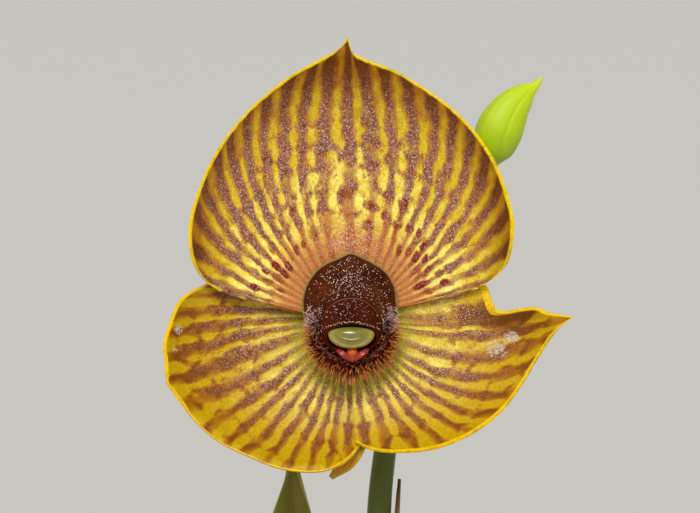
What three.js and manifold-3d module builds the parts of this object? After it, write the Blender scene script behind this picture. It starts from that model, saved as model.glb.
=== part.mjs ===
// A telipogon orchid growing in moss in a small slatted wooden basket.
// Millimetres, +Z up. The origin is the middle of the basket's underside. The flower faces -Y.
import * as THREE from "three";
import { mergeVertices } from "three/addons/utils/BufferGeometryUtils.js";
import Module from "manifold-3d";

const wasm = await Module();
wasm.setup();

// Clearance between neighbouring pieces
const GAP = 0.35;

// Basket: rails stacked log-cabin fashion, pinned through the corners
const RAIL_LENGTH = 104;
const RAIL_WIDTH = 9;
const RAIL_HEIGHT = 8;
const RAIL_CHAMFER = 0.8;
const RAIL_OFFSET = 43;
const RAIL_LAYERS = 7;
const FLOOR_SLAT_WIDTH = 13;
const FLOOR_SLAT_PITCH = 22;
const FLOOR_SLAT_LENGTH = 2 * RAIL_OFFSET + RAIL_WIDTH;
const PIN_RADIUS = 1.1;
const PIN_HOLE_RADIUS = 1.45;
const PIN_HEAD_RADIUS = 2.2;
const PIN_HEAD_HEIGHT = 1.4;
const PIN_HEAD_RECESS = 0.8;
const PIN_RISE = 2.6;
const EYE_RADIUS = 2.9;
const NAIL_RADIUS = 0.8;
const NAIL_TOP = 13;
const NAIL_HEAD_RADIUS = 1.8;
const NAIL_HEAD_HEIGHT = 1;
const NAIL_HEAD_RECESS = 0.5;
// How far a bore is cut past the face it leaves through
const BORE_PAST = 1;

// Moss: fills the basket, bulges between the rails and rises to a low dome
const MOSS_HALF = RAIL_OFFSET - RAIL_WIDTH / 2 - GAP;
const MOSS_BULGE_HALF = RAIL_OFFSET + RAIL_WIDTH / 2 - 3.5;
const MOSS_EDGE_HEIGHT = 51.5;
const MOSS_DOME = 5.5;
const MOSS_CELLS = 18;

// Flower: its own plane is X and Z, with depth measured towards -Y
const FLOWER = new THREE.Vector3(0, -16, 150);
const BLADE_THICKNESS = 0.65;
const BLADE_STEP = 1.3;
const BASE_RADIUS = 3.0;
const POST_RADIUS = 2.5;
const BOWL_SHALLOW = 3.0;
const BOWL_RIM = 3.5;
const BOWL_FLARE = 8;
// Radius of the flower's rim every 20 degrees, from +X towards +Z
const RIM_RADIUS = [
  25, 22, 25.5, 29.5, 32.2, 32.2, 30.3, 26.5, 22.3, 23, 23.8, 21.8, 20.2, 18.5, 17.8, 18.8, 21, 24,
];

// Greenery
const LEAF_THICKNESS = 0.8;
const SHOOT_BASE = 44;
const BRACT_THICKNESS = 0.6;
const ROOT_RADIUS = 1.15;
const ROOT_TAPER = 0.25;
const ROOT_LIFT = 0.35;
const ROOT_DIVE = 3.4;

// Colours, as roughness and metalness go with each
const FINISH = {
  cedar: { color: 0x9a6238, roughness: 0.75, metalness: 0 },
  zincWire: { color: 0x9fa3a6, roughness: 0.45, metalness: 0.9 },
  moss: { color: 0x7d8a3a, roughness: 1, metalness: 0 },
  leaf: { color: 0x5c7a26, roughness: 0.5, metalness: 0 },
  stem: { color: 0x6f7a22, roughness: 0.55, metalness: 0 },
  bract: { color: 0x8a7a2c, roughness: 0.6, metalness: 0 },
  root: { color: 0xc9c8b0, roughness: 0.8, metalness: 0 },
  bud: { color: 0xb4cf1c, roughness: 0.45, metalness: 0 },
  petal: { color: 0xc79a1c, roughness: 0.5, metalness: 0 },
  sepal: { color: 0xb9b32a, roughness: 0.5, metalness: 0 },
  callus: { color: 0x3c0f06, roughness: 0.8, metalness: 0 },
  column: { color: 0x4a1509, roughness: 0.6, metalness: 0 },
  antherCap: { color: 0x8b9440, roughness: 0.15, metalness: 0 },
  beak: { color: 0xd0452a, roughness: 0.3, metalness: 0 },
  bristle: { color: 0x3a0d10, roughness: 0.5, metalness: 0 },
};

const part = new THREE.Group();

// Adds a geometry or a solid to the part as a named piece
function add(name, shape, finish) {
  const geometry = shape.isBufferGeometry ? shape : geometryOf(shape);
  const mesh = new THREE.Mesh(geometry, new THREE.MeshStandardMaterial(FINISH[finish]));
  mesh.name = name;
  part.add(mesh);
  return mesh;
}

// Geometry to solid and back
function solidOf(geometry) {
  const plain = new THREE.BufferGeometry().setAttribute("position", geometry.getAttribute("position"));
  if (geometry.index) plain.setIndex(geometry.index);
  const merged = facingOut(mergeVertices(plain, 1e-4));
  return new wasm.Manifold(
    new wasm.Mesh({
      numProp: 3,
      vertProperties: new Float32Array(merged.attributes.position.array),
      triVerts: new Uint32Array(merged.index.array),
    }),
  );
}

function geometryOf(solid) {
  const mesh = solid.getMesh();
  const positions = new Float32Array(mesh.numVert * 3);
  for (let i = 0; i < mesh.numVert; i++) {
    positions.set(mesh.vertProperties.subarray(i * mesh.numProp, i * mesh.numProp + 3), i * 3);
  }
  return new THREE.BufferGeometry()
    .setAttribute("position", new THREE.BufferAttribute(positions, 3))
    .setIndex(new THREE.BufferAttribute(mesh.triVerts, 1));
}

function trianglesToGeometry(points, triangles) {
  const positions = new Float32Array(points.flatMap((p) => [p.x, p.y, p.z]));
  return new THREE.BufferGeometry()
    .setAttribute("position", new THREE.BufferAttribute(positions, 3))
    .setIndex(triangles.flat());
}

// Repeatable random numbers from 0 to 1
function seeded(seed) {
  let state = seed;
  return () => {
    state = (state + 0x6d2b79f5) | 0;
    let t = Math.imul(state ^ (state >>> 15), 1 | state);
    t = (t + Math.imul(t ^ (t >>> 7), 61 | t)) ^ t;
    return ((t ^ (t >>> 14)) >>> 0) / 4294967296;
  };
}

// Smooth curve through evenly spaced values, at t from 0 to 1
function through(values, t) {
  const x = t * (values.length - 1);
  const i = Math.min(Math.floor(x), values.length - 2);
  const w = x - i;
  const a = values[Math.max(i - 1, 0)];
  const b = values[i];
  const c = values[i + 1];
  const d = values[Math.min(i + 2, values.length - 1)];
  const m0 = (c - a) / 2;
  const m1 = (d - b) / 2;
  return (2 * b - 2 * c + m0 + m1) * w ** 3 + (-3 * b + 3 * c - 2 * m0 - m1) * w ** 2 + m0 * w + b;
}

// The same for values that go once round a circle
function around(values, turn) {
  const n = values.length;
  const x = (((turn % 1) + 1) % 1) * n;
  const i = Math.floor(x);
  const near = [-1, 0, 1, 2].map((k) => values[(i + k + n) % n]);
  return through(near, (1 + x - i) / 3);
}

// The triangles of the walls between rings of equal length
function wallsBetween(rings) {
  const sides = rings[0].length;
  const triangles = [];
  for (let r = 0; r < rings.length - 1; r++) {
    for (let s = 0; s < sides; s++) {
      const a = r * sides + s;
      const b = r * sides + ((s + 1) % sides);
      triangles.push([a, b, b + sides], [a, b + sides, a + sides]);
    }
  }
  return triangles;
}

// A closed solid lofted through rings, capped with fans
function loft(rings) {
  const sides = rings[0].length;
  const points = rings.flat();
  const triangles = wallsBetween(rings);
  const middle = (ring) => ring.reduce((sum, p) => sum.add(p), new THREE.Vector3()).divideScalar(sides);
  const first = points.push(middle(rings[0])) - 1;
  const last = points.push(middle(rings[rings.length - 1])) - 1;
  const top = (rings.length - 1) * sides;
  for (let s = 0; s < sides; s++) {
    const next = (s + 1) % sides;
    triangles.push([first, next, s], [last, top + s, top + next]);
  }
  return trianglesToGeometry(points, triangles);
}

// A tapering stem along a smooth path; radius(t, angle) gives its section, and grow adds to it all round
function stem({ path, radius, steps, sides }, grow = 0) {
  const curve = new THREE.CatmullRomCurve3(path, false, "centripetal");
  const frames = curve.computeFrenetFrames(steps, false);
  const rings = [];
  for (let i = 0; i <= steps; i++) {
    const past = i === 0 ? -grow : i === steps ? grow : 0;
    const centre = curve.getPointAt(i / steps).addScaledVector(frames.tangents[i], past);
    const ring = [];
    for (let s = 0; s < sides; s++) {
      const angle = (2 * Math.PI * s) / sides;
      const r = radius(i / steps, angle) + grow;
      const across = frames.normals[i].clone().multiplyScalar(r * Math.cos(angle));
      ring.push(centre.clone().add(across).addScaledVector(frames.binormals[i], r * Math.sin(angle)));
    }
    rings.push(ring);
  }
  return solidOf(loft(rings));
}

// A thin blade over the grid of surface(u, v), both from 0 to 1, split alike on both faces
function blade(surface, cellsU, cellsV, thickness) {
  const grid = [];
  for (let i = 0; i <= cellsU; i++) {
    grid.push([]);
    for (let j = 0; j <= cellsV; j++) grid[i].push(surface(i / cellsU, j / cellsV));
  }
  const at = (i, j) => grid[Math.min(Math.max(i, 0), cellsU)][Math.min(Math.max(j, 0), cellsV)];
  const points = [];
  for (const side of [1, -1]) {
    for (let i = 0; i <= cellsU; i++) {
      for (let j = 0; j <= cellsV; j++) {
        const alongU = at(i + 1, j).clone().sub(at(i - 1, j));
        const alongV = at(i, j + 1).clone().sub(at(i, j - 1));
        const normal = alongU.cross(alongV).normalize();
        points.push(at(i, j).clone().addScaledVector(normal, (side * thickness) / 2));
      }
    }
  }
  const row = cellsV + 1;
  const back = (cellsU + 1) * row;
  const triangles = [];
  for (let i = 0; i < cellsU; i++) {
    for (let j = 0; j < cellsV; j++) {
      const a = i * row + j;
      const [b, c, d] = [a + row, a + row + 1, a + 1];
      triangles.push([a, b, c], [a, c, d]);
      triangles.push([back + a, back + c, back + b], [back + a, back + d, back + c]);
    }
  }
  const wall = (a, b) => triangles.push([a, back + a, back + b], [a, back + b, b]);
  for (let i = 0; i < cellsU; i++) {
    wall(i * row, (i + 1) * row);
    wall((i + 1) * row + cellsV, i * row + cellsV);
  }
  for (let j = 0; j < cellsV; j++) {
    wall(j + 1, j);
    wall(cellsU * row + j, cellsU * row + j + 1);
  }
  return facingOut(trianglesToGeometry(points, triangles));
}

// Turns a geometry's faces round if they point inwards
function facingOut(geometry) {
  const p = geometry.getAttribute("position");
  const index = geometry.index.array;
  const corner = (k) => new THREE.Vector3().fromBufferAttribute(p, index[k]);
  let volume = 0;
  for (let k = 0; k < index.length; k += 3) volume += corner(k).dot(corner(k + 1).cross(corner(k + 2)));
  if (volume < 0) {
    for (let k = 0; k < index.length; k += 3) [index[k + 1], index[k + 2]] = [index[k + 2], index[k + 1]];
  }
  return geometry;
}

function cylinder(radius, low, high, x, y, sides = 8) {
  const shape = new THREE.CylinderGeometry(radius, radius, high - low, sides);
  return solidOf(shape.rotateX(Math.PI / 2).translate(x, y, (low + high) / 2));
}

// Basket rails

// A straight rail with chamfered long edges, along X, standing on z = 0
function railShape(length, width) {
  const [w, h, c] = [width / 2, RAIL_HEIGHT, RAIL_CHAMFER];
  const outline = new THREE.Shape(
    [
      [-w + c, 0], [w - c, 0], [w, c], [w, h - c], [w - c, h], [-w + c, h], [-w, h - c], [-w, c],
    ].map(([x, y]) => new THREE.Vector2(x, y)),
  );
  const shape = new THREE.ExtrudeGeometry(outline, { depth: length, bevelEnabled: false });
  return shape.translate(0, 0, -length / 2).rotateX(Math.PI / 2).rotateZ(Math.PI / 2);
}

// Where the nails go up through the floor slats into the rails above
function nailPlaces() {
  const places = [];
  for (const side of [-1, 1]) {
    for (const row of [-1, 0, 1]) places.push([side * RAIL_OFFSET, row * FLOOR_SLAT_PITCH]);
  }
  return places;
}

function basketRails() {
  const headRecess = PIN_HEAD_RECESS + PIN_HEAD_HEIGHT + GAP;
  for (let layer = 0; layer < RAIL_LAYERS; layer++) {
    const alongX = layer % 2 === 0;
    const low = layer * RAIL_HEIGHT;
    for (const side of [-1, 1]) {
      const shape = railShape(RAIL_LENGTH, RAIL_WIDTH);
      if (alongX) shape.translate(0, side * RAIL_OFFSET, low);
      else shape.rotateZ(Math.PI / 2).translate(side * RAIL_OFFSET, 0, low);
      let rail = solidOf(shape);
      for (const end of [-1, 1]) {
        const [x, y] = alongX ? [end, side] : [side, end];
        const hole = [x * RAIL_OFFSET, y * RAIL_OFFSET];
        const high = low + RAIL_HEIGHT + BORE_PAST;
        rail = rail.subtract(cylinder(PIN_HOLE_RADIUS, low - BORE_PAST, high, ...hole));
        if (layer === 0) {
          rail = rail.subtract(cylinder(PIN_HEAD_RADIUS + GAP, -BORE_PAST, headRecess, ...hole));
        }
      }
      if (layer === 1) {
        const nails = nailPlaces().filter(([x]) => x * side > 0);
        for (const place of nails) {
          rail = rail.subtract(cylinder(NAIL_RADIUS + GAP, low - BORE_PAST, NAIL_TOP + 1.5, ...place));
        }
      }
      const wall = alongX ? ["front", "back"] : ["left", "right"];
      add(`rail_${layer + 1}_${wall[side < 0 ? 0 : 1]}`, rail, "cedar");
    }
  }
  const nailRecess = NAIL_HEAD_RECESS + NAIL_HEAD_HEIGHT + 0.5;
  for (const row of [-1, 0, 1]) {
    const y = row * FLOOR_SLAT_PITCH;
    let slat = solidOf(railShape(FLOOR_SLAT_LENGTH, FLOOR_SLAT_WIDTH).translate(0, y, 0));
    for (const side of [-1, 1]) {
      const x = side * RAIL_OFFSET;
      slat = slat.subtract(cylinder(NAIL_RADIUS + GAP, -BORE_PAST, RAIL_HEIGHT + BORE_PAST, x, y));
      slat = slat.subtract(cylinder(NAIL_HEAD_RADIUS + GAP, -BORE_PAST, nailRecess, x, y));
    }
    add(`floor_slat_${row + 2}`, slat, "cedar");
  }
}

// Wire pins through the stacked corners, each with an eye on top, and the nails in the floor
function basketMetal() {
  const top = RAIL_LAYERS * RAIL_HEIGHT;
  let count = 0;
  for (const x of [-RAIL_OFFSET, RAIL_OFFSET]) {
    for (const y of [-RAIL_OFFSET, RAIL_OFFSET]) {
      const head = cylinder(PIN_HEAD_RADIUS, PIN_HEAD_RECESS, PIN_HEAD_RECESS + PIN_HEAD_HEIGHT, x, y);
      const shank = cylinder(PIN_RADIUS, PIN_HEAD_RECESS, top + PIN_RISE, x, y);
      const turn = Math.PI / 4 + (x * y > 0 ? Math.PI / 2 : 0);
      const ring = new THREE.TorusGeometry(EYE_RADIUS, PIN_RADIUS, 6, 14).rotateX(Math.PI / 2);
      ring.rotateZ(turn).translate(x, y, top + PIN_RISE + EYE_RADIUS);
      count += 1;
      add(`corner_pin_${count}`, head.add(shank).add(solidOf(ring)), "zincWire");
    }
  }
  nailPlaces().forEach(([x, y], i) => {
    const head = cylinder(NAIL_HEAD_RADIUS, NAIL_HEAD_RECESS, NAIL_HEAD_RECESS + NAIL_HEAD_HEIGHT, x, y);
    const shank = cylinder(NAIL_RADIUS, NAIL_HEAD_RECESS + 0.5 * NAIL_HEAD_HEIGHT, NAIL_TOP, x, y);
    add(`floor_nail_${i + 1}`, head.add(shank), "zincWire");
  });
}

// Moss

// Height of the moss above a point of the basket
function mossHeight(x, y) {
  const reach = Math.min(1, Math.hypot(x, y) / (RAIL_OFFSET + RAIL_WIDTH));
  const tufts =
    0.9 * Math.sin(0.31 * x + 0.8) * Math.sin(0.27 * y + 2.1) +
    0.6 * Math.sin(0.52 * x - 0.37 * y + 1.2) +
    0.4 * Math.sin(0.83 * y + 0.61 * x);
  return MOSS_EDGE_HEIGHT + MOSS_DOME * (1 - reach ** 2) + tufts;
}

function mossShape() {
  const low = RAIL_HEIGHT + GAP;
  const railTop = (RAIL_LAYERS - 1) * RAIL_HEIGHT;
  const box = (halfX, halfY, from, to) =>
    solidOf(new THREE.BoxGeometry(2 * halfX, 2 * halfY, to - from).translate(0, 0, (from + to) / 2));
  let moss = box(MOSS_HALF, MOSS_HALF, low, railTop + 1);
  for (let layer = 1; layer < RAIL_LAYERS - 1; layer++) {
    const [from, to] = [layer * RAIL_HEIGHT + GAP, (layer + 1) * RAIL_HEIGHT - GAP];
    const alongX = layer % 2 === 0;
    moss = moss.add(
      alongX ? box(MOSS_BULGE_HALF, MOSS_HALF, from, to) : box(MOSS_HALF, MOSS_BULGE_HALF, from, to),
    );
  }
  const cap = [];
  for (let i = 0; i <= MOSS_CELLS; i++) {
    const x = (2 * i / MOSS_CELLS - 1) * MOSS_BULGE_HALF;
    const ring = [];
    for (let j = 0; j <= MOSS_CELLS; j++) {
      const y = (2 * j / MOSS_CELLS - 1) * MOSS_HALF;
      ring.push(new THREE.Vector3(x, y, mossHeight(x, y)));
    }
    for (const y of [MOSS_HALF, -MOSS_HALF]) ring.push(new THREE.Vector3(x, y, railTop + GAP));
    cap.push(ring);
  }
  return moss.add(solidOf(flatCapped(cap)));
}

// A closed solid through rings, the first and last of them flat, across X and of any outline
function flatCapped(rings) {
  const triangles = wallsBetween(rings);
  const top = (rings.length - 1) * rings[0].length;
  const capOf = (ring) => {
    const outline = ring.map((p) => new THREE.Vector2(p.y, p.z));
    return THREE.ShapeUtils.triangulateShape(outline, []);
  };
  triangles.push(...capOf(rings[0]));
  for (const [a, b, c] of capOf(rings[rings.length - 1])) triangles.push([top + c, top + b, top + a]);
  return trianglesToGeometry(rings.flat(), triangles);
}

// Flower blades

// Depth of the shared bowl, towards the viewer, at a point of the flower's plane
function bowl(x, z, cap = 1.5) {
  const radius = Math.hypot(x, z);
  const rim = around(RIM_RADIUS, Math.atan2(z, x) / (2 * Math.PI));
  const q = Math.min(radius / rim, cap);
  const inner = Math.min(q, 1);
  return BOWL_SHALLOW * inner ** 2 + BOWL_RIM * inner ** 8 + BOWL_FLARE * Math.max(0, q - 1);
}

// Half a blade, from its axis at u = 0 to its edge at u = 1. The margin runs from the tip to the edge's
// corner; share says how far along it each vein ends, and bow how far each vein swings out on the way.
class HalfBlade {
  constructor(half) {
    Object.assign(this, half);
    this.curve = new THREE.SplineCurve(this.margin.map(([x, z]) => new THREE.Vector2(x, z)));
    this.curve.arcLengthDivisions = 400;
    this.outward = new THREE.Vector2(...this.bowDirection);
  }

  point(u, v) {
    const [from, to] = this.baseAngles;
    const angle = ((from + (to - from) * u ** this.spread) * Math.PI) / 180;
    const base = new THREE.Vector2(Math.cos(angle), Math.sin(angle)).multiplyScalar(BASE_RADIUS);
    const end = this.curve.getPointAt(THREE.MathUtils.clamp(through(this.share, u), 0, 1));
    const bend = base.clone().add(end).multiplyScalar(0.5);
    bend.addScaledVector(this.outward, through(this.bow, u));
    return new THREE.QuadraticBezierCurve(base, bend, end).getPoint(v);
  }
}

const LIP = [
  new HalfBlade({
    margin: [
      [-0.4, 34.8], [-1.0, 33.7], [-2.6, 32.5], [-8, 29.5], [-13.3, 25],
      [-17.2, 19.5], [-19.5, 13.5], [-19.9, 9.5], [-19.2, 6.3], [-17.6, 4.2], [-16.1, 3.5],
    ],
    baseAngles: [90, 180],
    spread: 0.75,
    share: [0, 0.13, 0.38, 0.67, 1],
    bow: [0, 4.8, 6.2, 6.5, 1.5],
    bowDirection: [-1, 0],
  }),
  new HalfBlade({
    margin: [
      [-0.4, 34.8], [0.1, 33.1], [1.2, 32.1], [6.4, 30], [12.9, 25.5],
      [17.3, 20], [19.6, 13.8], [19.9, 10.3], [19.3, 7], [18.1, 5.4], [16.8, 4.3], [15.1, 3.7],
    ],
    baseAngles: [90, 12],
    spread: 0.75,
    share: [0, 0.13, 0.38, 0.67, 1],
    bow: [0, 4.8, 6.2, 6.5, 1],
    bowDirection: [1, 0],
  }),
];

const LEFT_PETAL = [
  new HalfBlade({
    margin: [
      [-22.8, -7.9], [-22.9, -5.4], [-23.1, -3.2], [-22.5, -0.9], [-21.5, 1.7],
      [-20.2, 3.1], [-17.9, 4.3], [-15.5, 5.8],
    ],
    baseAngles: [196, 165],
    spread: 1,
    share: [0, 0.25, 0.5, 0.75, 1],
    bow: [0.5, 1, 1.5, 1.5, 1],
    bowDirection: [-0.2, 1],
  }),
  new HalfBlade({
    margin: [
      [-22.8, -7.9], [-21.1, -10.2], [-19.2, -12.8], [-16.4, -15.2], [-12.8, -17], [-9.3, -18.4],
      [-6.2, -18.95], [-3.6, -18.9], [-1.8, -18.3], [-0.2, -17.3], [1, -15.9], [1.9, -13.5],
    ],
    baseAngles: [196, 274],
    spread: 1,
    share: [0, 0.25, 0.5, 0.75, 1],
    bow: [0.5, 1.5, 2, 2.2, 0.5],
    bowDirection: [0.25, -1],
  }),
];

const RIGHT_PETAL = [
  new HalfBlade({
    margin: [
      [27.4, 0.25], [25.7, 0.5], [24.2, 0.7], [22.9, 1.3], [21.2, 1.15],
      [19.4, 0.8], [18.2, 0.9], [17.5, 2.1], [16.9, 3.9], [15.6, 5.4],
    ],
    baseAngles: [-8, 14],
    spread: 1,
    share: [0, 0.25, 0.5, 0.75, 1],
    bow: [-4, -3.2, -2.4, -1.2, 0],
    bowDirection: [0, 1],
  }),
  new HalfBlade({
    margin: [
      [27.4, 0.25], [25.2, -1.6], [23.2, -4.6], [20.9, -8.4], [18.4, -11.5], [15.2, -13.9],
      [11.5, -15.6], [8.2, -16.3], [4.6, -16.45], [2.2, -16.1], [0.6, -15.4],
    ],
    baseAngles: [-8, -92],
    spread: 1,
    share: [0, 0.17, 0.45, 0.74, 1],
    bow: [4, 7.5, 5.5, 2.2, -0.6],
    bowDirection: [0.15, -1],
  }),
];

// A point of the flower's plane, at a depth towards the viewer, in the part's frame
function inFlower(x, z, depth) {
  return new THREE.Vector3(FLOWER.x + x, FLOWER.y - depth, FLOWER.z + z);
}

// The upper edge of the right petal rises in front of a hollow
function rightPetalFold(x, z) {
  const hollow = -1.1 * Math.exp(-(((x - 19.5) / 3) ** 2) - ((z + 2) / 1.8) ** 2);
  const ridge = 1.6 * Math.exp(-(((x - 20.5) / 4) ** 2) - ((z - 1.6) / 1.2) ** 2);
  return hollow + ridge;
}

function flowerBlade(halves, step, cells, shape = () => 0) {
  const surface = (s, v) => {
    const half = halves[s < 0.5 ? 0 : 1];
    const { x, y: z } = half.point(Math.abs(2 * s - 1), v);
    return inFlower(x, z, bowl(x, z) + step * BLADE_STEP + shape(x, z));
  };
  return blade(surface, cells[0], cells[1], BLADE_THICKNESS);
}

// A narrow sepal behind the petals, along a curve in the flower's plane
function sepal(path, halfWidths) {
  const curve = new THREE.SplineCurve(path.map(([x, z]) => new THREE.Vector2(x, z)));
  const surface = (s, v) => {
    const along = curve.getTangentAt(v);
    const across = new THREE.Vector2(along.y, -along.x);
    const place = curve.getPointAt(v).addScaledVector(across, (2 * s - 1) * through(halfWidths, v));
    return inFlower(place.x, place.y, bowl(place.x, place.y, 0.9) - 2 * BLADE_STEP);
  };
  return blade(surface, 4, 9, BLADE_THICKNESS);
}

function perianth() {
  add("lip", flowerBlade(LIP, 1, [26, 11]), "petal");
  add("petal_left", flowerBlade(LEFT_PETAL, -1, [20, 9]), "petal");
  add("petal_right", flowerBlade(RIGHT_PETAL, 0, [20, 9], rightPetalFold), "petal");
  const widths = [1.4, 2, 2.5, 2.6, 2.2, 1.4, 0.35];
  const lower = [[0, -3], [-0.2, -9], [0, -14.5], [-0.7, -17.7], [-2.5, -19.9]];
  const right = [[2.1, 2.1], [6.5, 7], [11, 10.5], [15, 12.5]];
  add("sepal_lower", sepal(lower, widths), "sepal");
  add("sepal_left", sepal(right.map(([x, z]) => [-x, z]), widths), "sepal");
  add("sepal_right", sepal(right, widths), "sepal");
}

// Flower centre

// An ellipsoid given by its middle and half sizes in the flower's plane and depth
function ellipsoid(x, z, depth, halfX, halfZ, halfDepth, grow = 0, segments = [18, 10]) {
  const shape = new THREE.SphereGeometry(1, ...segments);
  shape.scale(halfX + grow, halfDepth + grow, halfZ + grow);
  const middle = inFlower(x, z, depth);
  return solidOf(shape.translate(middle.x, middle.y, middle.z));
}

function post(radius, from, to) {
  const shape = new THREE.CylinderGeometry(radius, radius, to - from, 16);
  const middle = inFlower(0, 0, (from + to) / 2);
  return solidOf(shape.translate(middle.x, middle.y, middle.z));
}

function columnSolid(grow) {
  const head = ellipsoid(0, -1.0, 5.2, 3.9, 3.7, 2.9, grow, [18, 10]);
  return post(POST_RADIUS + grow, -3.6 - grow, 5).add(head);
}

const antherCap = (grow) => ellipsoid(0.1, -2.3, 7.1, 2.85, 1.45, 1.5, grow);
const beak = (grow) => ellipsoid(0.2, -4.2, 5.9, 2.0, 1.1, 1.5, grow, [12, 8]);

// The curved cushion that the bristles grow from, round the lower side of the column
const CUSHION = {
  x: 0.1, z: -1.9, halfX: 4.7, halfZ: 3.8,
  depth: 3.3, from: 168, to: 372, radius: 0.75,
};

function cushionPoint(turn) {
  const angle = ((CUSHION.from + (CUSHION.to - CUSHION.from) * turn) * Math.PI) / 180;
  const [c, s] = [Math.cos(angle), Math.sin(angle)];
  const place = inFlower(CUSHION.x + CUSHION.halfX * c, CUSHION.z + CUSHION.halfZ * s, CUSHION.depth);
  return { c, s, place };
}

function cushion(grow) {
  const path = Array.from({ length: 9 }, (_, i) => cushionPoint(i / 8).place);
  return stem({ path, radius: () => CUSHION.radius, steps: 20, sides: 8 }, grow);
}

// A three-sided spine from root towards direction
function spine(root, direction, length, radius) {
  const shape = new THREE.ConeGeometry(radius, length, 3).translate(0, length / 2, 0);
  const turn = new THREE.Quaternion().setFromUnitVectors(new THREE.Vector3(0, 1, 0), direction);
  return solidOf(shape.applyQuaternion(turn).translate(root.x, root.y, root.z));
}

function bristles() {
  const random = seeded(11);
  const rows = 2;
  const perRow = 26;
  let tuft = cushion(0);
  for (let row = 0; row < rows; row++) {
    for (let k = 0; k < perRow; k++) {
      const { c, s, place } = cushionPoint((k + 0.2 + 0.6 * random()) / perRow);
      const rise = 0.2 + 0.55 * row + 0.15 * random();
      const direction = new THREE.Vector3(c, -rise, s).normalize();
      tuft = tuft.add(spine(place, direction, 2.1 + 0.8 * random(), 0.3));
    }
  }
  return tuft;
}

// The thick pad round the column, drawn up to a blunt point at the top
function callusPad(grow) {
  const outline = new THREE.Shape();
  outline.moveTo(0, 8.2);
  outline.bezierCurveTo(0.9, 8.1, 1.9, 7.1, 3.3, 6.6);
  outline.bezierCurveTo(4.9, 5.7, 5.8, 4.2, 5.8, 2.2);
  outline.bezierCurveTo(5.8, -0.2, 5.2, -2.2, 3.8, -3.4);
  outline.lineTo(-3.9, -3.4);
  outline.bezierCurveTo(-5.3, -2.2, -6.1, -0.2, -6.1, 2.2);
  outline.bezierCurveTo(-6.1, 4.2, -5.1, 5.7, -3.4, 6.6);
  outline.bezierCurveTo(-1.9, 7.2, -1.1, 8.1, 0, 8.2);
  const [thickness, rounding] = [2.2, 0.6];
  const shape = new THREE.ExtrudeGeometry(outline, {
    depth: thickness - 2 * rounding,
    curveSegments: 4,
    bevelThickness: rounding + grow,
    bevelSize: rounding + grow,
    bevelOffset: -rounding,
    bevelSegments: 2,
  });
  const place = inFlower(0, 0, BLADE_STEP + 0.95 + rounding);
  return solidOf(shape.rotateX(Math.PI / 2).translate(place.x, place.y, place.z));
}

function largestBody(solid) {
  return solid.decompose().sort((a, b) => b.volume() - a.volume())[0];
}

function flowerCentre() {
  const head = columnSolid(0).subtract(antherCap(GAP)).subtract(beak(GAP));
  add("column", largestBody(head), "column");
  add("anther_cap", largestBody(antherCap(0).subtract(beak(GAP))), "antherCap");
  add("beak", beak(0), "beak");
  const relief = post(3.4, 1, 2.9);
  const pad = callusPad(0).subtract(columnSolid(GAP)).subtract(cushion(2 * GAP)).subtract(relief);
  add("callus", largestBody(pad), "callus");
  const tuft = bristles().subtract(columnSolid(GAP)).subtract(beak(GAP)).subtract(antherCap(GAP));
  const outside = callusPad(GAP).subtract(cushion(GAP));
  add("bristles", largestBody(tuft.subtract(outside)), "bristle");
}

// Stems

const at = (x, y, z) => new THREE.Vector3(x, y, z);

// A softly three-cornered section
const threeCornered = (angle, depth) => 1 + depth * Math.cos(3 * angle);

const PEDUNCLE = {
  path: [
    at(2.9, -1.5, 46), at(3.0, -1.2, 70), at(3.1, -0.6, 100), at(3.6, 0, 125.6),
    at(4.5, 0.3, 134), at(5.6, 0.6, 143), at(7.4, 0.9, 151), at(9.4, 0.6, 158.5),
  ],
  radius: (t, a) => through([1.75, 1.65, 1.6, 1.55, 1.5, 1.5, 1.25, 0.95], t) * threeCornered(a, 0.06),
  steps: 22,
  sides: 8,
};

const OVARY = {
  path: [
    at(0, -11.85, 150), at(0.1, -10.8, 150), at(0.9, -7.6, 149.1),
    at(2.6, -3.9, 146), at(5.2, 0.2, 141.4),
  ],
  radius: (t, a) => through([2.35, 2.2, 2.0, 1.6, 1.2, 1.05], t) * threeCornered(a, 0.12),
  steps: 12,
  sides: 12,
};

const BUD_STALK = {
  path: [
    at(9.0, 0.7, 157.4), at(10.6, -1, 160.6), at(13.6, -5, 164.6),
    at(16.2, -8.8, 167.6), at(17.1, -9.9, 168.8),
  ],
  radius: (t) => through([0.8, 0.75, 0.75, 0.8, 1.05], t),
  steps: 9,
  sides: 8,
};

const BUD = {
  path: [
    at(17.35, -10.2, 169.25), at(17.8, -10.5, 171.1), at(18.5, -10.8, 173.5), at(20.1, -11, 176.3),
    at(21.9, -11, 178.2), at(23.4, -11, 179.4), at(24.05, -11, 180.3),
  ],
  radius: (t, a) =>
    through([0.95, 2.25, 2.8, 2.9, 2.65, 2.2, 1.6, 0.7, 0.4], t) * threeCornered(a, 0.05),
  steps: 14,
  sides: 15,
};

function flowerStalks() {
  const rachis = stem(PEDUNCLE, GAP);
  add("peduncle", stem(PEDUNCLE), "stem");
  add("ovary", largestBody(stem(OVARY).subtract(rachis)), "stem");
  add("bud_stalk", largestBody(stem(BUD_STALK).subtract(rachis).subtract(stem(BUD, GAP))), "stem");
  add("bud", stem(BUD), "bud");
}

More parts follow.
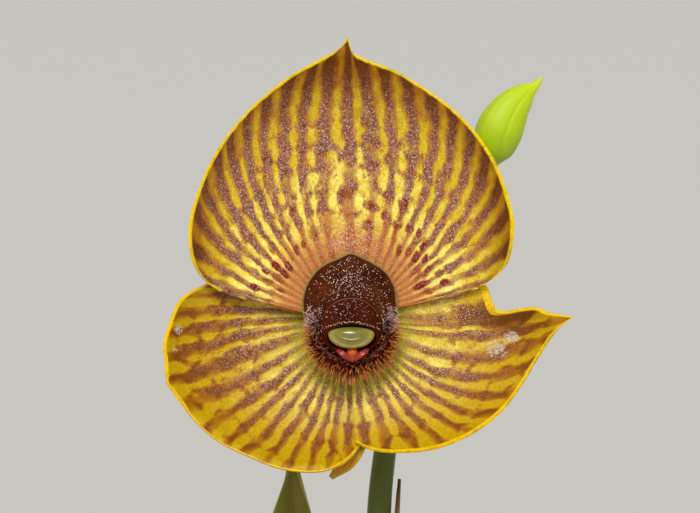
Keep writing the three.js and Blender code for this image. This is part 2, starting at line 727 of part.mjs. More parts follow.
// A small folded bract that clasps a stem and ends in a point
function bract(foot, tip, facing, halfWidth, grip) {
  const along = tip.clone().sub(foot);
  const across = along.clone().cross(facing).normalize();
  const out = across.clone().cross(along).normalize();
  const surface = (s, v) => {
    const wrap = (2 * s - 1) * (1.15 - 0.75 * v);
    const half = Math.max(0.4, halfWidth * (1 - v ** 2.2));
    const centre = foot.clone().addScaledVector(along, v);
    const lift = grip * (Math.cos(wrap) - 1) * (1 - 0.4 * v);
    return centre.addScaledVector(across, half * Math.sin(wrap)).addScaledVector(out, lift);
  };
  return blade(surface, 4, 8, BRACT_THICKNESS);
}

function bracts() {
  add("bract_1", bract(at(5.5, -0.3, 114), at(6.25, 0.1, 129), at(1, 0, 0), 2.1, 1.7), "bract");
  add("bract_2", bract(at(0.7, -1.0, 84), at(-0.1, -0.8, 98), at(-1, 0, 0), 2.1, 1.7), "bract");
  add("bract_3", bract(at(3.9, 2.55, 135.5), at(3.6, 4.6, 147), at(-0.3, 1, 0), 2.1, 1.6), "bract");
}

// Leaves

// A folded leaf that follows a path; its blade is widest past the middle and ends in a point
function leaf({ path, up, half, fold }) {
  const curve = new THREE.CatmullRomCurve3(path, false, "centripetal");
  const surface = (s, v) => {
    const centre = curve.getPointAt(v);
    const along = curve.getTangentAt(v);
    const across = along.clone().cross(up).normalize();
    const face = across.clone().cross(along).normalize();
    const width = half * through([0.24, 0.42, 0.72, 0.93, 1, 0.95, 0.78, 0.46, 0.05], v);
    const side = 2 * s - 1;
    const angle = fold * (1.25 - 0.55 * v);
    const reach = Math.abs(side) * Math.max(width, 0.5);
    return centre
      .addScaledVector(across, Math.sign(side) * reach * Math.cos(angle))
      .addScaledVector(face, reach * Math.sin(angle));
  };
  return blade(surface, 4, 11, LEAF_THICKNESS);
}

const MAIN_SHOOT = shoot([at(0.5, 5.6, SHOOT_BASE), at(0.3, 5.8, 55), at(0, 6, 69)], 1.15);
const SIDE_SHOOT = shoot([at(-23, 12, SHOOT_BASE + 2), at(-23.6, 12.4, 54), at(-24.2, 12.6, 64)], 0.85);

// A stout leafy stem, a little flattened
function shoot(path, girth) {
  const radius = (t, a) => girth * through([2.5, 2.7, 2.6, 2.2, 1.2], t) * (1 + 0.12 * Math.cos(2 * a));
  return { path, radius, steps: 8, sides: 12 };
}

// Each leaf's path from inside its shoot, the side its channel faces, its half width and its fold
const LEAVES = {
  leaf_1: {
    path: [at(-1, 4.6, 61), at(-4.6, 3.4, 74), at(-8, 2.6, 102), at(-7.6, 0, 132.5)],
    up: at(0.3, -1, 0),
    half: 6.8,
    fold: 0.5,
  },
  leaf_2: {
    path: [at(1.6, 5.6, 61), at(9, 5.6, 78), at(21, 6.6, 97), at(38, 7.4, 105)],
    up: at(-0.7, -0.3, 0.7),
    half: 6.2,
    fold: 0.4,
  },
  leaf_3: {
    path: [at(-1.2, 7, 63), at(-9.5, 10.6, 78), at(-20, 14.6, 95), at(-34, 18, 100)],
    up: at(0.6, -0.3, 0.7),
    half: 5.8,
    fold: 0.4,
  },
  leaf_4: {
    path: [at(1.6, 4.6, 58.5), at(11, 0.2, 69.5), at(26, -3.6, 77), at(43, -6, 74)],
    up: at(-0.3, 0, 1),
    half: 5.6,
    fold: 0.36,
  },
  leaf_5: {
    path: [at(-1, 4.6, 57.8), at(-11, -1.4, 68), at(-25, -8.6, 76), at(-40, -14, 71)],
    up: at(0.3, 0, 1),
    half: 5.4,
    fold: 0.36,
  },
  leaf_6: {
    path: [at(0.5, 7.2, 67), at(3, 14.6, 79), at(8, 25, 88), at(14, 37, 89)],
    up: at(0, -0.6, 0.8),
    half: 5.2,
    fold: 0.4,
  },
  side_leaf_1: {
    path: [at(-24.8, 12.2, 59.5), at(-30, 10, 71), at(-36, 8, 79), at(-44, 5, 80)],
    up: at(0.4, 0, 1),
    half: 4.2,
    fold: 0.4,
  },
  side_leaf_2: {
    path: [at(-24.2, 13.4, 61.5), at(-26.4, 20, 74), at(-29, 27, 83), at(-32, 36, 85)],
    up: at(0, -0.5, 1),
    half: 4.2,
    fold: 0.4,
  },
};

// Roots run over the moss and sink into it
const ROOTS = [
  [[-1.6, 1.6], [-7, -6], [-14, -15], [-23, -22], [-33, -27]],
  [[3.8, 2.6], [11, -5.6], [14, -17], [12, -28], [15, -36]],
  [[3.6, 8.6], [13, 14.5], [23, 17], [33, 24], [37, 33]],
];

function root(points) {
  const path = points.map(([x, y], i) => {
    const lift = i === points.length - 1 ? -ROOT_DIVE : ROOT_LIFT;
    return at(x, y, mossHeight(x, y) + lift);
  });
  return { path, radius: (t) => ROOT_RADIUS - ROOT_TAPER * t, steps: 14, sides: 7 };
}

function growth() {
  const shoots = { shoot_main: MAIN_SHOOT, shoot_side: SIDE_SHOOT };
  let moss = mossShape().subtract(stem(PEDUNCLE, GAP));
  for (const [name, form] of Object.entries(shoots)) {
    add(name, stem(form), "leaf");
    moss = moss.subtract(stem(form, GAP));
  }
  ROOTS.forEach((points, i) => {
    add(`root_${i + 1}`, stem(root(points)), "root");
    moss = moss.subtract(stem(root(points), GAP));
  });
  add("moss", largestBody(moss), "moss");
  for (const [name, form] of Object.entries(LEAVES)) {
    const carrier = name.startsWith("side") ? SIDE_SHOOT : MAIN_SHOOT;
    add(name, largestBody(solidOf(leaf(form)).subtract(stem(carrier, GAP))), "leaf");
  }
}

basketRails();
basketMetal();
growth();
flowerStalks();
bracts();
perianth();
flowerCentre();

export default part;
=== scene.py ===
"""Dresses a telipogon orchid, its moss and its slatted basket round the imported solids.

Shapes are worked out in millimetres in the part's own frame and turned to metres as each piece is
finished. The flower faces -Y; its own plane is X and Z, with depth counted towards the viewer.
"""
import logging
import math
import random
from bisect import bisect_left
from dataclasses import dataclass, field
from enum import Enum
from functools import cache, partial
from typing import Any, Callable, Iterable, Sequence

import bmesh
import bpy
from bmesh.types import BMEdge, BMesh, BMVert
from mathutils import Matrix, Vector, kdtree, noise


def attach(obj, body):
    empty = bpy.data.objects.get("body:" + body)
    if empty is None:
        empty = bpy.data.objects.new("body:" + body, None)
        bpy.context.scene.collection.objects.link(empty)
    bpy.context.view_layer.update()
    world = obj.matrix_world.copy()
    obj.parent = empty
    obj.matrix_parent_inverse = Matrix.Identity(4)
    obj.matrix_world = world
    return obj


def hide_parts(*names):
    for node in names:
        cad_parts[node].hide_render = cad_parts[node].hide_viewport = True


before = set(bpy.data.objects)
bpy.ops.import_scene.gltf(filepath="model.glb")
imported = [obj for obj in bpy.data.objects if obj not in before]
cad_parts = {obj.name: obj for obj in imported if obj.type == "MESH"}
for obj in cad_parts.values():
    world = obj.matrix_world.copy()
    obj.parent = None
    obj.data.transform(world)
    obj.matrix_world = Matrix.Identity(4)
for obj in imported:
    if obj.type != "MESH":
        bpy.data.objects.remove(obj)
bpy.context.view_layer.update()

LOG = logging.getLogger("orchid")
MM = 0.001
# The flower's middle, the side that it faces, and up
FLOWER = Vector((0.0, -16.0, 150.0))
FORWARD = Vector((0.0, -1.0, 0.0))
UP = Vector((0.0, 0.0, 1.0))
# Vertices closer than this, in millimetres, are joined
WELD = 1e-4
# Random rolls run up to almost a whole turn, in radians
ROLL = 6.28
# Degrees past which an edge stays sharp, on pieces that have no sharp edge
ALL_SOFT = 180.0

Sockets = dict[str, Any]
Marks = dict[str, float]
Pair = tuple[float, float]
Triple = tuple[float, float, float]
Place = Callable[[float, float], Vector]
Radius = Callable[[float, float], float]
Surface = Callable[[float, float], tuple[Vector, Marks]]


class Slot(Enum):
    """The record's material slots."""

    CEDAR = "cedar"
    WIRE = "zinc_wire"
    MOSS = "moss"
    LEAF = "leaf"
    STEM = "stem"
    BRACT = "bract"
    ROOT = "root"
    BUD = "bud"
    PETAL = "petal"
    SEPAL = "sepal"
    CALLUS = "callus"
    COLUMN = "column"
    CAP = "anther_cap"
    BEAK = "beak"
    BRISTLE = "bristle"


# Node helpers


def linear(code: str) -> tuple[float, float, float, float]:
    """Turns an sRGB hex colour into the linear one that a shader takes.

    Args:
        code: The colour as "#rrggbb".

    Returns:
        Linear red, green, blue and an alpha of 1.
    """
    parts = [int(code[i : i + 2], 16) / 255 for i in (1, 3, 5)]
    red, green, blue = (c / 12.92 if c <= 0.04045 else ((c + 0.055) / 1.055) ** 2.4 for c in parts)
    return red, green, blue, 1.0


# The setting that a node's main option is
MAIN_OPTION = {
    "Math": "operation", "VectorMath": "operation", "Mix": "data_type", "MapRange": "interpolation_type",
}


def add_node(
    tree: bpy.types.NodeTree, kind: str, inputs: list | dict | None = None, option: str = "", **settings: Any
) -> bpy.types.Node:
    """Adds a node with its settings and links.

    Args:
        tree: The material's or world's node tree.
        kind: The node's type, without the ShaderNode before it.
        inputs: What its sockets take, as a list in their order or a dict by their names: values, hex
            colours, sockets, or nodes whose first live output is meant.
        option: Its main option, such as a Math node's operation.
        settings: Its other properties.

    Returns:
        The new node.
    """
    node = tree.nodes.new(f"ShaderNode{kind}")
    if option:
        settings[MAIN_OPTION[kind]] = option
    for name, value in settings.items():
        setattr(node, name, value)
    sockets = [s for s in node.inputs if s.enabled]
    if isinstance(inputs, dict):
        sockets = [next(s for s in sockets if s.name == name) for name in inputs]
        inputs = list(inputs.values())
    for socket, value in zip(sockets, inputs or []):
        if isinstance(value, bpy.types.Node):
            value = next(s for s in value.outputs if s.enabled)
        if isinstance(value, bpy.types.NodeSocket):
            tree.links.new(value, socket)
        else:
            socket.default_value = linear(value) if isinstance(value, str) else value
    return node


def per_mm(size: float) -> float:
    """Gives the texture scale whose features are about size millimetres wide."""
    return 1.0 / (size * MM)


# Curves and numbers


def through(values: Sequence[float], t: float) -> float:
    """Follows a smooth curve through evenly spaced values.

    Args:
        values: The values, first to last.
        t: How far along, from 0 to 1.

    Returns:
        The value there.
    """
    x = t * (len(values) - 1)
    i = min(int(x), len(values) - 2)
    w = x - i
    a, b, c, d = (values[min(max(i + k, 0), len(values) - 1)] for k in (-1, 0, 1, 2))
    m0, m1 = (c - a) / 2, (d - b) / 2
    return (2 * b - 2 * c + m0 + m1) * w**3 + (3 * c - 3 * b - 2 * m0 - m1) * w**2 + m0 * w + b


def around(values: Sequence[float], turn: float) -> float:
    """Follows a smooth curve through values that go once round a circle.

    Args:
        values: The values, evenly spaced round the circle.
        turn: The place as a share of a whole turn.

    Returns:
        The value there.
    """
    x = (turn % 1.0) * len(values)
    i = int(x)
    near = [values[(i + k) % len(values)] for k in (-1, 0, 1, 2)]
    return through(near, (1 + x - i) / 3)


def smooth(low: float, high: float, x: float) -> float:
    """Rises smoothly from 0 at low to 1 at high, and the other way if low is the greater."""
    t = min(max((x - low) / (high - low), 0.0), 1.0)
    return t * t * (3 - 2 * t)


class Curve:
    """A smooth curve through points, measured along its length."""

    def __init__(self, points: Iterable[Sequence[float]], centripetal: bool = True) -> None:
        """Measures the curve.

        Args:
            points: The points, in millimetres.
            centripetal: False for the plain spline that the flower's margins follow.
        """
        self.points = [Vector(p) for p in points]
        self.centripetal = centripetal
        self.parts = 240
        self.lengths = [0.0]
        last = self.at(0)
        for i in range(1, self.parts + 1):
            here = self.at(i / self.parts)
            self.lengths.append(self.lengths[-1] + (here - last).length)
            last = here

    def at(self, t: float) -> Vector:
        """Gives a point by its place among the curve's points.

        Args:
            t: From 0 at the first point to 1 at the last.

        Returns:
            The point.
        """
        p = self.points
        x = t * (len(p) - 1)
        i = min(int(x), len(p) - 2)
        w = x - i
        start, end = p[i], p[i + 1]
        if not self.centripetal:
            before, after = p[max(i - 1, 0)], p[min(i + 2, len(p) - 1)]
            m0, m1 = (end - before) / 2, (after - start) / 2
        else:
            before = p[i - 1] if i else 2 * p[0] - p[1]
            after = p[i + 2] if i + 2 < len(p) else 2 * p[-1] - p[-2]
            gaps = ((start - before).length, (end - start).length, (after - end).length)
            g0, g1, g2 = (g**0.5 for g in gaps)
            m0 = ((start - before) / g0 - (end - before) / (g0 + g1)) * g1 + (end - start)
            m1 = (end - start) + ((after - end) / g2 - (after - start) / (g1 + g2)) * g1
        cubic = 2 * start - 2 * end + m0 + m1
        square = 3 * end - 3 * start - 2 * m0 - m1
        return cubic * w**3 + square * w**2 + m0 * w + start

    def along(self, share: float) -> Vector:
        """Gives the point at a share of the curve's length.

        Args:
            share: From 0 to 1.

        Returns:
            The point.
        """
        wanted = min(max(share, 0.0), 1.0) * self.lengths[-1]
        i = min(max(bisect_left(self.lengths, wanted), 1), self.parts)
        low, high = self.lengths[i - 1], self.lengths[i]
        return self.at((i - 1 + (wanted - low) / (high - low)) / self.parts)

    def tangent(self, share: float) -> Vector:
        """Gives the unit direction at a share of the length."""
        step = 0.001
        return (self.along(share + step) - self.along(share - step)).normalized()


# Mesh helpers


def new_mesh(*marks: str) -> BMesh:
    """Starts a mesh in millimetres.

    Args:
        marks: Names of numbers that its vertices carry for the finish to read.

    Returns:
        The empty mesh.
    """
    bm = bmesh.new()
    for name in ("along", *marks):
        bm.verts.layers.float.new(name)
    bm.verts.layers.float.new("turn")
    return bm


def ringed(bm: BMesh, sides: int, steps: int, place: Place) -> None:
    """Extrudes a ring step by step into a closed solid.

    Args:
        bm: The mesh that takes it.
        sides: Vertices in each ring.
        steps: Number of extrusions.
        place: Gives a vertex's place from its share of the way and its turn round the ring.
    """
    along, turn = (bm.verts.layers.float[name] for name in ("along", "turn"))
    ring = bmesh.ops.create_circle(bm, cap_ends=True, segments=sides, radius=1.0)["verts"]
    edges = list({e for v in ring for e in v.link_edges})
    for vert in ring:
        vert[turn] = math.atan2(vert.co.y, vert.co.x) / math.tau
    made = []
    for i in range(steps + 1):
        if i:
            grown = bmesh.ops.extrude_edge_only(bm, edges=edges)["geom"]
            ring = [g for g in grown if isinstance(g, BMVert)]
            fresh = set(ring)
            edges = [g for g in grown if isinstance(g, BMEdge) and fresh.issuperset(g.verts)]
        for vert in ring:
            vert[along] = i / steps
            vert.co = place(i / steps, vert[turn])
        made += ring
    bmesh.ops.contextual_create(bm, geom=edges)
    bmesh.ops.remove_doubles(bm, verts=[v for v in made if v.is_valid], dist=WELD)


def stemmed(bm: BMesh, sides: int, steps: int, curve: Curve, radius: Radius) -> None:
    """Extrudes a closed stem along a curve.

    Args:
        bm: The mesh that takes it.
        sides: Vertices in each ring.
        steps: Number of extrusions.
        curve: The stem's middle line.
        radius: Gives the radius from the share of the way and the turn round the ring.
    """
    tangent = curve.tangent(0)
    side = tangent.cross(UP if abs(tangent.z) < 0.9 else FORWARD).normalized()
    stations = []
    for i in range(steps + 1):
        tangent = curve.tangent(i / steps)
        side = (side - tangent * side.dot(tangent)).normalized()
        stations.append((curve.along(i / steps), side, tangent.cross(side)))

    def place(share: float, turn: float) -> Vector:
        """Gives a point of the stem's skin.

        Args:
            share: Share of the way.
            turn: Turn round the ring.

        Returns:
            The point.
        """
        centre, across, over = stations[round(share * steps)]
        angle = turn * math.tau
        return centre + radius(share, turn) * (across * math.cos(angle) + over * math.sin(angle))

    ringed(bm, sides, steps, place)


def spun(bm: BMesh, geom: list, matrix: Matrix, steps: int) -> None:
    """Spins a profile once round an axis and closes the turn.

    Args:
        bm: The mesh that holds it.
        geom: The profile's vertices and edges.
        matrix: Its origin and Z axis are the axis of the spin.
        steps: Sides of the turned solid.
    """
    bmesh.ops.spin(
        bm, geom=geom, axis=matrix.to_3x3() @ UP, cent=matrix.translation, dvec=(0, 0, 0),
        steps=steps, angle=math.tau, use_merge=True, use_duplicate=False,
    )


def sheeted(bm: BMesh, cells: tuple[int, int], surface: Surface, thickness: float, facing: Vector) -> None:
    """Shapes a grid into a thin closed blade with rounded edges.

    Args:
        bm: The mesh that takes it.
        cells: Cells across and along.
        surface: Gives a point and its marks from shares across and along.
        thickness: In millimetres.
        facing: The side that the grid's own points lie nearest to, as a direction.
    """
    layers = bm.verts.layers.float
    across, along = cells
    grid = bmesh.ops.create_grid(bm, x_segments=across, y_segments=along, size=0.5)["verts"]
    for vert in grid:
        vert.co, marks = surface(min(max(vert.co.x + 0.5, 0), 1), min(max(vert.co.y + 0.5, 0), 1))
        for name, value in marks.items():
            vert[layers[name]] = value
    bm.normal_update()
    tilt = sum((f.normal for f in bm.faces), Vector())
    side = 1 if tilt.dot(facing) > 0 else -1
    offsets = {v: v.normal * side * thickness / 2 for v in grid}
    front = [(v, v.co + offsets[v]) for v in grid]
    for vert, _ in front:
        vert.co = vert.co - offsets[vert]
    grown = bmesh.ops.extrude_face_region(bm, geom=bm.faces[:], use_keep_orig=True)["geom"]
    copies = [g for g in grown if isinstance(g, BMVert)]
    tree = kdtree.KDTree(len(front))
    for i, (vert, _) in enumerate(front):
        tree.insert(vert.co, i)
    tree.balance()
    for vert in copies:
        vert.co = front[tree.find(vert.co)[1]][1]
    bmesh.ops.recalc_face_normals(bm, faces=bm.faces)
    sharp = 0.9
    rim = [e for e in bm.edges if len(e.link_faces) == 2 and e.calc_face_angle(0) > sharp]
    bmesh.ops.bevel(
        bm, geom=rim, affect="EDGES", offset=thickness * 0.28, segments=2, profile=0.5,
        material=-1, clamp_overlap=True,
    )


def template_of(name: str, bm: BMesh) -> bpy.types.Mesh:
    """Keeps a small mesh for repeating.

    Args:
        name: The mesh's name.
        bm: The shape, which is freed.

    Returns:
        The mesh.
    """
    bmesh.ops.recalc_face_normals(bm, faces=bm.faces)
    mesh = bpy.data.meshes.new(name)
    bm.to_mesh(mesh)
    bm.free()
    return mesh


def stand(
    bm: BMesh, template: bpy.types.Mesh, foot: Vector, direction: Vector, length: float, width: float,
    roll: float = 0.0,
) -> None:
    """Stands a copy of a unit template on a point.

    Args:
        bm: The mesh that takes it.
        template: The shape that is repeated.
        foot: The point that its foot goes to.
        direction: Where its Z axis points.
        length: Scale along that axis.
        width: Scale across it.
        roll: Turn about it, in radians.
    """
    turned = direction.to_track_quat("Z", "Y").to_matrix().to_4x4() @ Matrix.Rotation(roll, 4, "Z")
    copy = template.copy()
    copy.transform(Matrix.Translation(foot) @ turned @ Matrix.Diagonal((width, width, length, 1)))
    bm.from_mesh(copy)
    bpy.data.meshes.remove(copy)


# Finishes


@dataclass(frozen=True)
class Finish:
    """A procedural finish, named for the real stuff."""

    name: str

    def sockets(self, add: Callable, place: Any) -> Sockets:
        """Builds the nodes from Object coordinates and gives the shader's inputs."""
        raise NotImplementedError

    @cache
    def material(self) -> bpy.types.Material:
        """Builds the material, once.

        Returns:
            The Blender material.
        """
        material = bpy.data.materials.new(self.name)
        material.use_nodes = True
        material.node_tree.nodes.clear()
        add = partial(add_node, material.node_tree)
        shader = add("BsdfPrincipled", self.sockets(add, add("TexCoord").outputs["Object"]))
        add("OutputMaterial", {"Surface": shader})
        return material


@dataclass(frozen=True)
class Cedar(Finish):
    """Sawn western red cedar, weathered in a damp greenhouse.

    The eye sees straight fine grain with darker late-wood lines about 1.5 mm apart, a matt face and
    greyer, rougher patches where water stands.
    """

    early: str = "#b98a5c"
    late: str = "#7d4d2c"
    weathered: str = "#8f8168"
    ring: float = 1.5

    def sockets(self, add: Callable, place: Any) -> Sockets:
        """Builds the nodes.

        Args:
            add: Adds a node.
            place: Object coordinates; not used.

        Returns:
            The shader's inputs.
        """
        grain = add("Attribute", attribute_name="grain").outputs["Vector"]
        # The grain attribute is in millimetres with the wood's length on X, where the pattern is drawn out
        stretched = add("Mapping", {"Vector": grain, "Scale": (0.04, 1.0, 1.0)})
        wander = add("TexNoise", [stretched, 0.22, 2.0])
        across = add("SeparateXYZ", [stretched])
        bent = add("Math", [wander, 9.0, across.outputs["Y"]], "MULTIPLY_ADD")
        tilted = add("Math", [across.outputs["Z"], 0.35, bent], "MULTIPLY_ADD")
        # Late-wood lines
        turned = add("Math", [tilted, math.tau / self.ring], "MULTIPLY")
        swing = add("Math", [turned], "SINE")
        wave = add("Math", [swing, 0.5, 0.5], "MULTIPLY_ADD")
        fibres = add("TexNoise", [stretched, 3.5, 5.0, 0.7])
        lines = add("Mix", [0.45, wave, fibres], "FLOAT")
        wood = add("Mix", [lines, self.late, self.early], "RGBA")
        damp = add("TexNoise", [grain, 0.07, 4.0])
        patch = add("MapRange", [damp, 0.45, 0.75, 0.0, 0.65])
        aged = add("Mix", [patch, wood, self.weathered], "RGBA")
        relief = add("Bump", {"Height": lines, "Strength": 0.5, "Distance": 0.15 * MM})
        rough = add("MapRange", [lines, 0.0, 1.0, 0.88, 0.68])
        return {"Base Color": aged, "Roughness": rough, "Normal": relief, "Specular IOR Level": 0.3}


@dataclass(frozen=True)
class GalvanisedWire(Finish):
    """Drawn steel wire with a hot-dip zinc coat: soft grey shine with a spangle and dull spots."""

    bright: str = "#b4b8ba"
    dull: str = "#84888a"

    def sockets(self, add: Callable, place: Any) -> Sockets:
        """Builds the nodes.

        Args:
            add: Adds a node.
            place: Object coordinates.

        Returns:
            The shader's inputs.
        """
        spangle = add("TexVoronoi", [place, per_mm(0.9)])
        cloud = add("TexNoise", [place, per_mm(3.0), 4.0])
        mixed = add("Mix", [0.5, spangle.outputs["Distance"], cloud], "FLOAT")
        colour = add("Mix", [mixed, self.bright, self.dull], "RGBA")
        rough = add("MapRange", [mixed, 0.0, 1.0, 0.3, 0.6])
        relief = add("Bump", {"Height": cloud, "Strength": 0.25, "Distance": 0.05 * MM})
        return {"Base Color": colour, "Metallic": 0.9, "Roughness": rough, "Normal": relief}


@dataclass(frozen=True)
class Moss(Finish):
    """Living sphagnum: matt, pale straw to green strands, with damp brown tones, and painted shade between
    their leaves.
    """

    deep: str
    body: str
    tip: str

    def sockets(self, add: Callable, place: Any) -> Sockets:
        """Builds the nodes.

        Args:
            add: Adds a node.
            place: Object coordinates.

        Returns:
            The shader's inputs.
        """
        tufts = add("TexNoise", [place, per_mm(9.0), 3.0])
        fine = add("TexNoise", [place, per_mm(0.9), 4.0, 0.7])
        along = add("Attribute", attribute_name="along").outputs["Fac"]
        shade = add("MapRange", [tufts, 0.35, 0.62])
        base = add("Mix", [shade, self.deep, self.body], "RGBA")
        lit = add("Math", [along, 0.8, -0.15], "MULTIPLY_ADD", use_clamp=True)
        tipped = add("Mix", [lit, base, self.tip], "RGBA")
        # Overlapping leaves 1.1 mm across, with painted shade darkening the creases between them
        leaves = add("TexVoronoi", [place, per_mm(1.1)], distance="MANHATTAN")
        crumbs = add("Math", [leaves.outputs["Distance"], -0.5, fine], "MULTIPLY_ADD")
        value = add("MapRange", [crumbs, -0.15, 0.45, 0.5, 1.25])
        colour = add("HueSaturation", {"Value": value, "Color": tipped})
        relief = add("Bump", {"Height": crumbs, "Strength": 0.9, "Distance": 0.7 * MM})
        return {"Base Color": colour, "Roughness": 0.92, "Normal": relief, "Specular IOR Level": 0.2}


@dataclass(frozen=True)
class Blade(Finish):
    """A leathery leaf: waxy and smooth, with fine parallel veins, a pale midrib and thin pale margins."""

    face: str = "#5f7a1f"
    deep: str = "#3f5a17"
    pale: str = "#9aa33c"
    old: str = "#6b4a1c"
    veins: int = 11

    def sockets(self, add: Callable, place: Any) -> Sockets:
        """Builds the nodes.

        Args:
            add: Adds a node.
            place: Object coordinates.

        Returns:
            The shader's inputs.
        """
        side = add("Attribute", attribute_name="side").outputs["Fac"]
        along = add("Attribute", attribute_name="along").outputs["Fac"]
        cloud = add("TexNoise", [place, per_mm(9.0), 4.0])
        spread = add("MapRange", [cloud, 0.35, 0.65])
        base = add("Mix", [spread, self.deep, self.face], "RGBA")
        # So many veins in each half
        turned = add("Math", [side, self.veins * math.tau], "MULTIPLY")
        ribs = add("Math", [turned], "COSINE")
        veins = add("MapRange", [ribs, 0.2, 1.0, 0.0, 0.35])
        veined = add("Mix", [veins, base, self.pale], "RGBA")
        outer = add("Math", [side], "ABSOLUTE")
        edge = add("MapRange", [outer, 0.93, 1.0, 0.0, 0.8], "SMOOTHSTEP")
        middle = add("MapRange", [outer, 0.07, 0.0, 0.0, 0.6], "SMOOTHSTEP")
        both = add("Math", [edge, middle], "MAXIMUM")
        lined = add("Mix", [both, veined, self.pale], "RGBA")
        tip = add("MapRange", [along, 0.93, 1.0, 0.0, 0.55], "SMOOTHSTEP")
        aged = add("Mix", [tip, lined, self.old], "RGBA")
        rough = add("MapRange", [cloud, 0.0, 1.0, 0.36, 0.52])
        relief = add("Bump", {"Height": ribs, "Strength": 0.35, "Distance": 0.12 * MM})
        return {"Base Color": aged, "Roughness": rough, "Normal": relief, "Specular IOR Level": 0.35}


@dataclass(frozen=True)
class Herb(Finish):
    """Soft green plant tissue: a satin skin, cloudy colour that changes along it, fine pale pores."""

    foot: str
    middle: str
    tip: str
    speck: str = "#d5dc8a"
    roughness: float = 0.45

    def sockets(self, add: Callable, place: Any) -> Sockets:
        """Builds the nodes.

        Args:
            add: Adds a node.
            place: Object coordinates.

        Returns:
            The shader's inputs.
        """
        along = add("Attribute", attribute_name="along").outputs["Fac"]
        cloud = add("TexNoise", [place, per_mm(2.6), 4.0])
        shifted = add("Math", [cloud, 0.3, along], "MULTIPLY_ADD")
        low = add("MapRange", [shifted, 0.1, 0.6])
        high = add("MapRange", [shifted, 0.75, 1.15])
        rising = add("Mix", [low, self.foot, self.middle], "RGBA")
        base = add("Mix", [high, rising, self.tip], "RGBA")
        pores = add("TexVoronoi", [place, per_mm(0.28)])
        dots = add("MapRange", [pores.outputs["Distance"], 0.22, 0.08, 0.0, 0.28])
        colour = add("Mix", [dots, base, self.speck], "RGBA")
        relief = add("Bump", {"Height": pores.outputs["Distance"], "Strength": 0.2, "Distance": 0.04 * MM})
        gloss = {"Roughness": self.roughness, "Specular IOR Level": 0.3}
        return {"Base Color": colour, "Normal": relief, **gloss}


@dataclass(frozen=True)
class Velamen(Finish):
    """A dry orchid root: silver-white spongy velamen, faintly netted, with a glossy green growing tip."""

    dry: str = "#cfcdb8"
    damp: str = "#9ba07a"
    growing: str = "#7c9a3a"

    def sockets(self, add: Callable, place: Any) -> Sockets:
        """Builds the nodes.

        Args:
            add: Adds a node.
            place: Object coordinates.

        Returns:
            The shader's inputs.
        """
        cloud = add("TexNoise", [place, per_mm(3.0), 5.0])
        spread = add("MapRange", [cloud, 0.4, 0.65])
        base = add("Mix", [spread, self.dry, self.damp], "RGBA")
        along = add("Attribute", attribute_name="along").outputs["Fac"]
        tip = add("MapRange", [along, 0.8, 0.88], "SMOOTHSTEP")
        colour = add("Mix", [tip, base, self.growing], "RGBA")
        relief = add("Bump", {"Height": cloud, "Strength": 0.5, "Distance": 0.15 * MM})
        return {"Base Color": colour, "Roughness": 0.8, "Normal": relief, "Specular IOR Level": 0.3}


# What a petal's vertices carry for its tissue, among them the amount of painted glints
MARKS = (
    "vein", "distance", "share", "inner", "warmth", "frost", "rim", "links", "pale", "smooth", "scar",
    "spots", "spot_at",
)


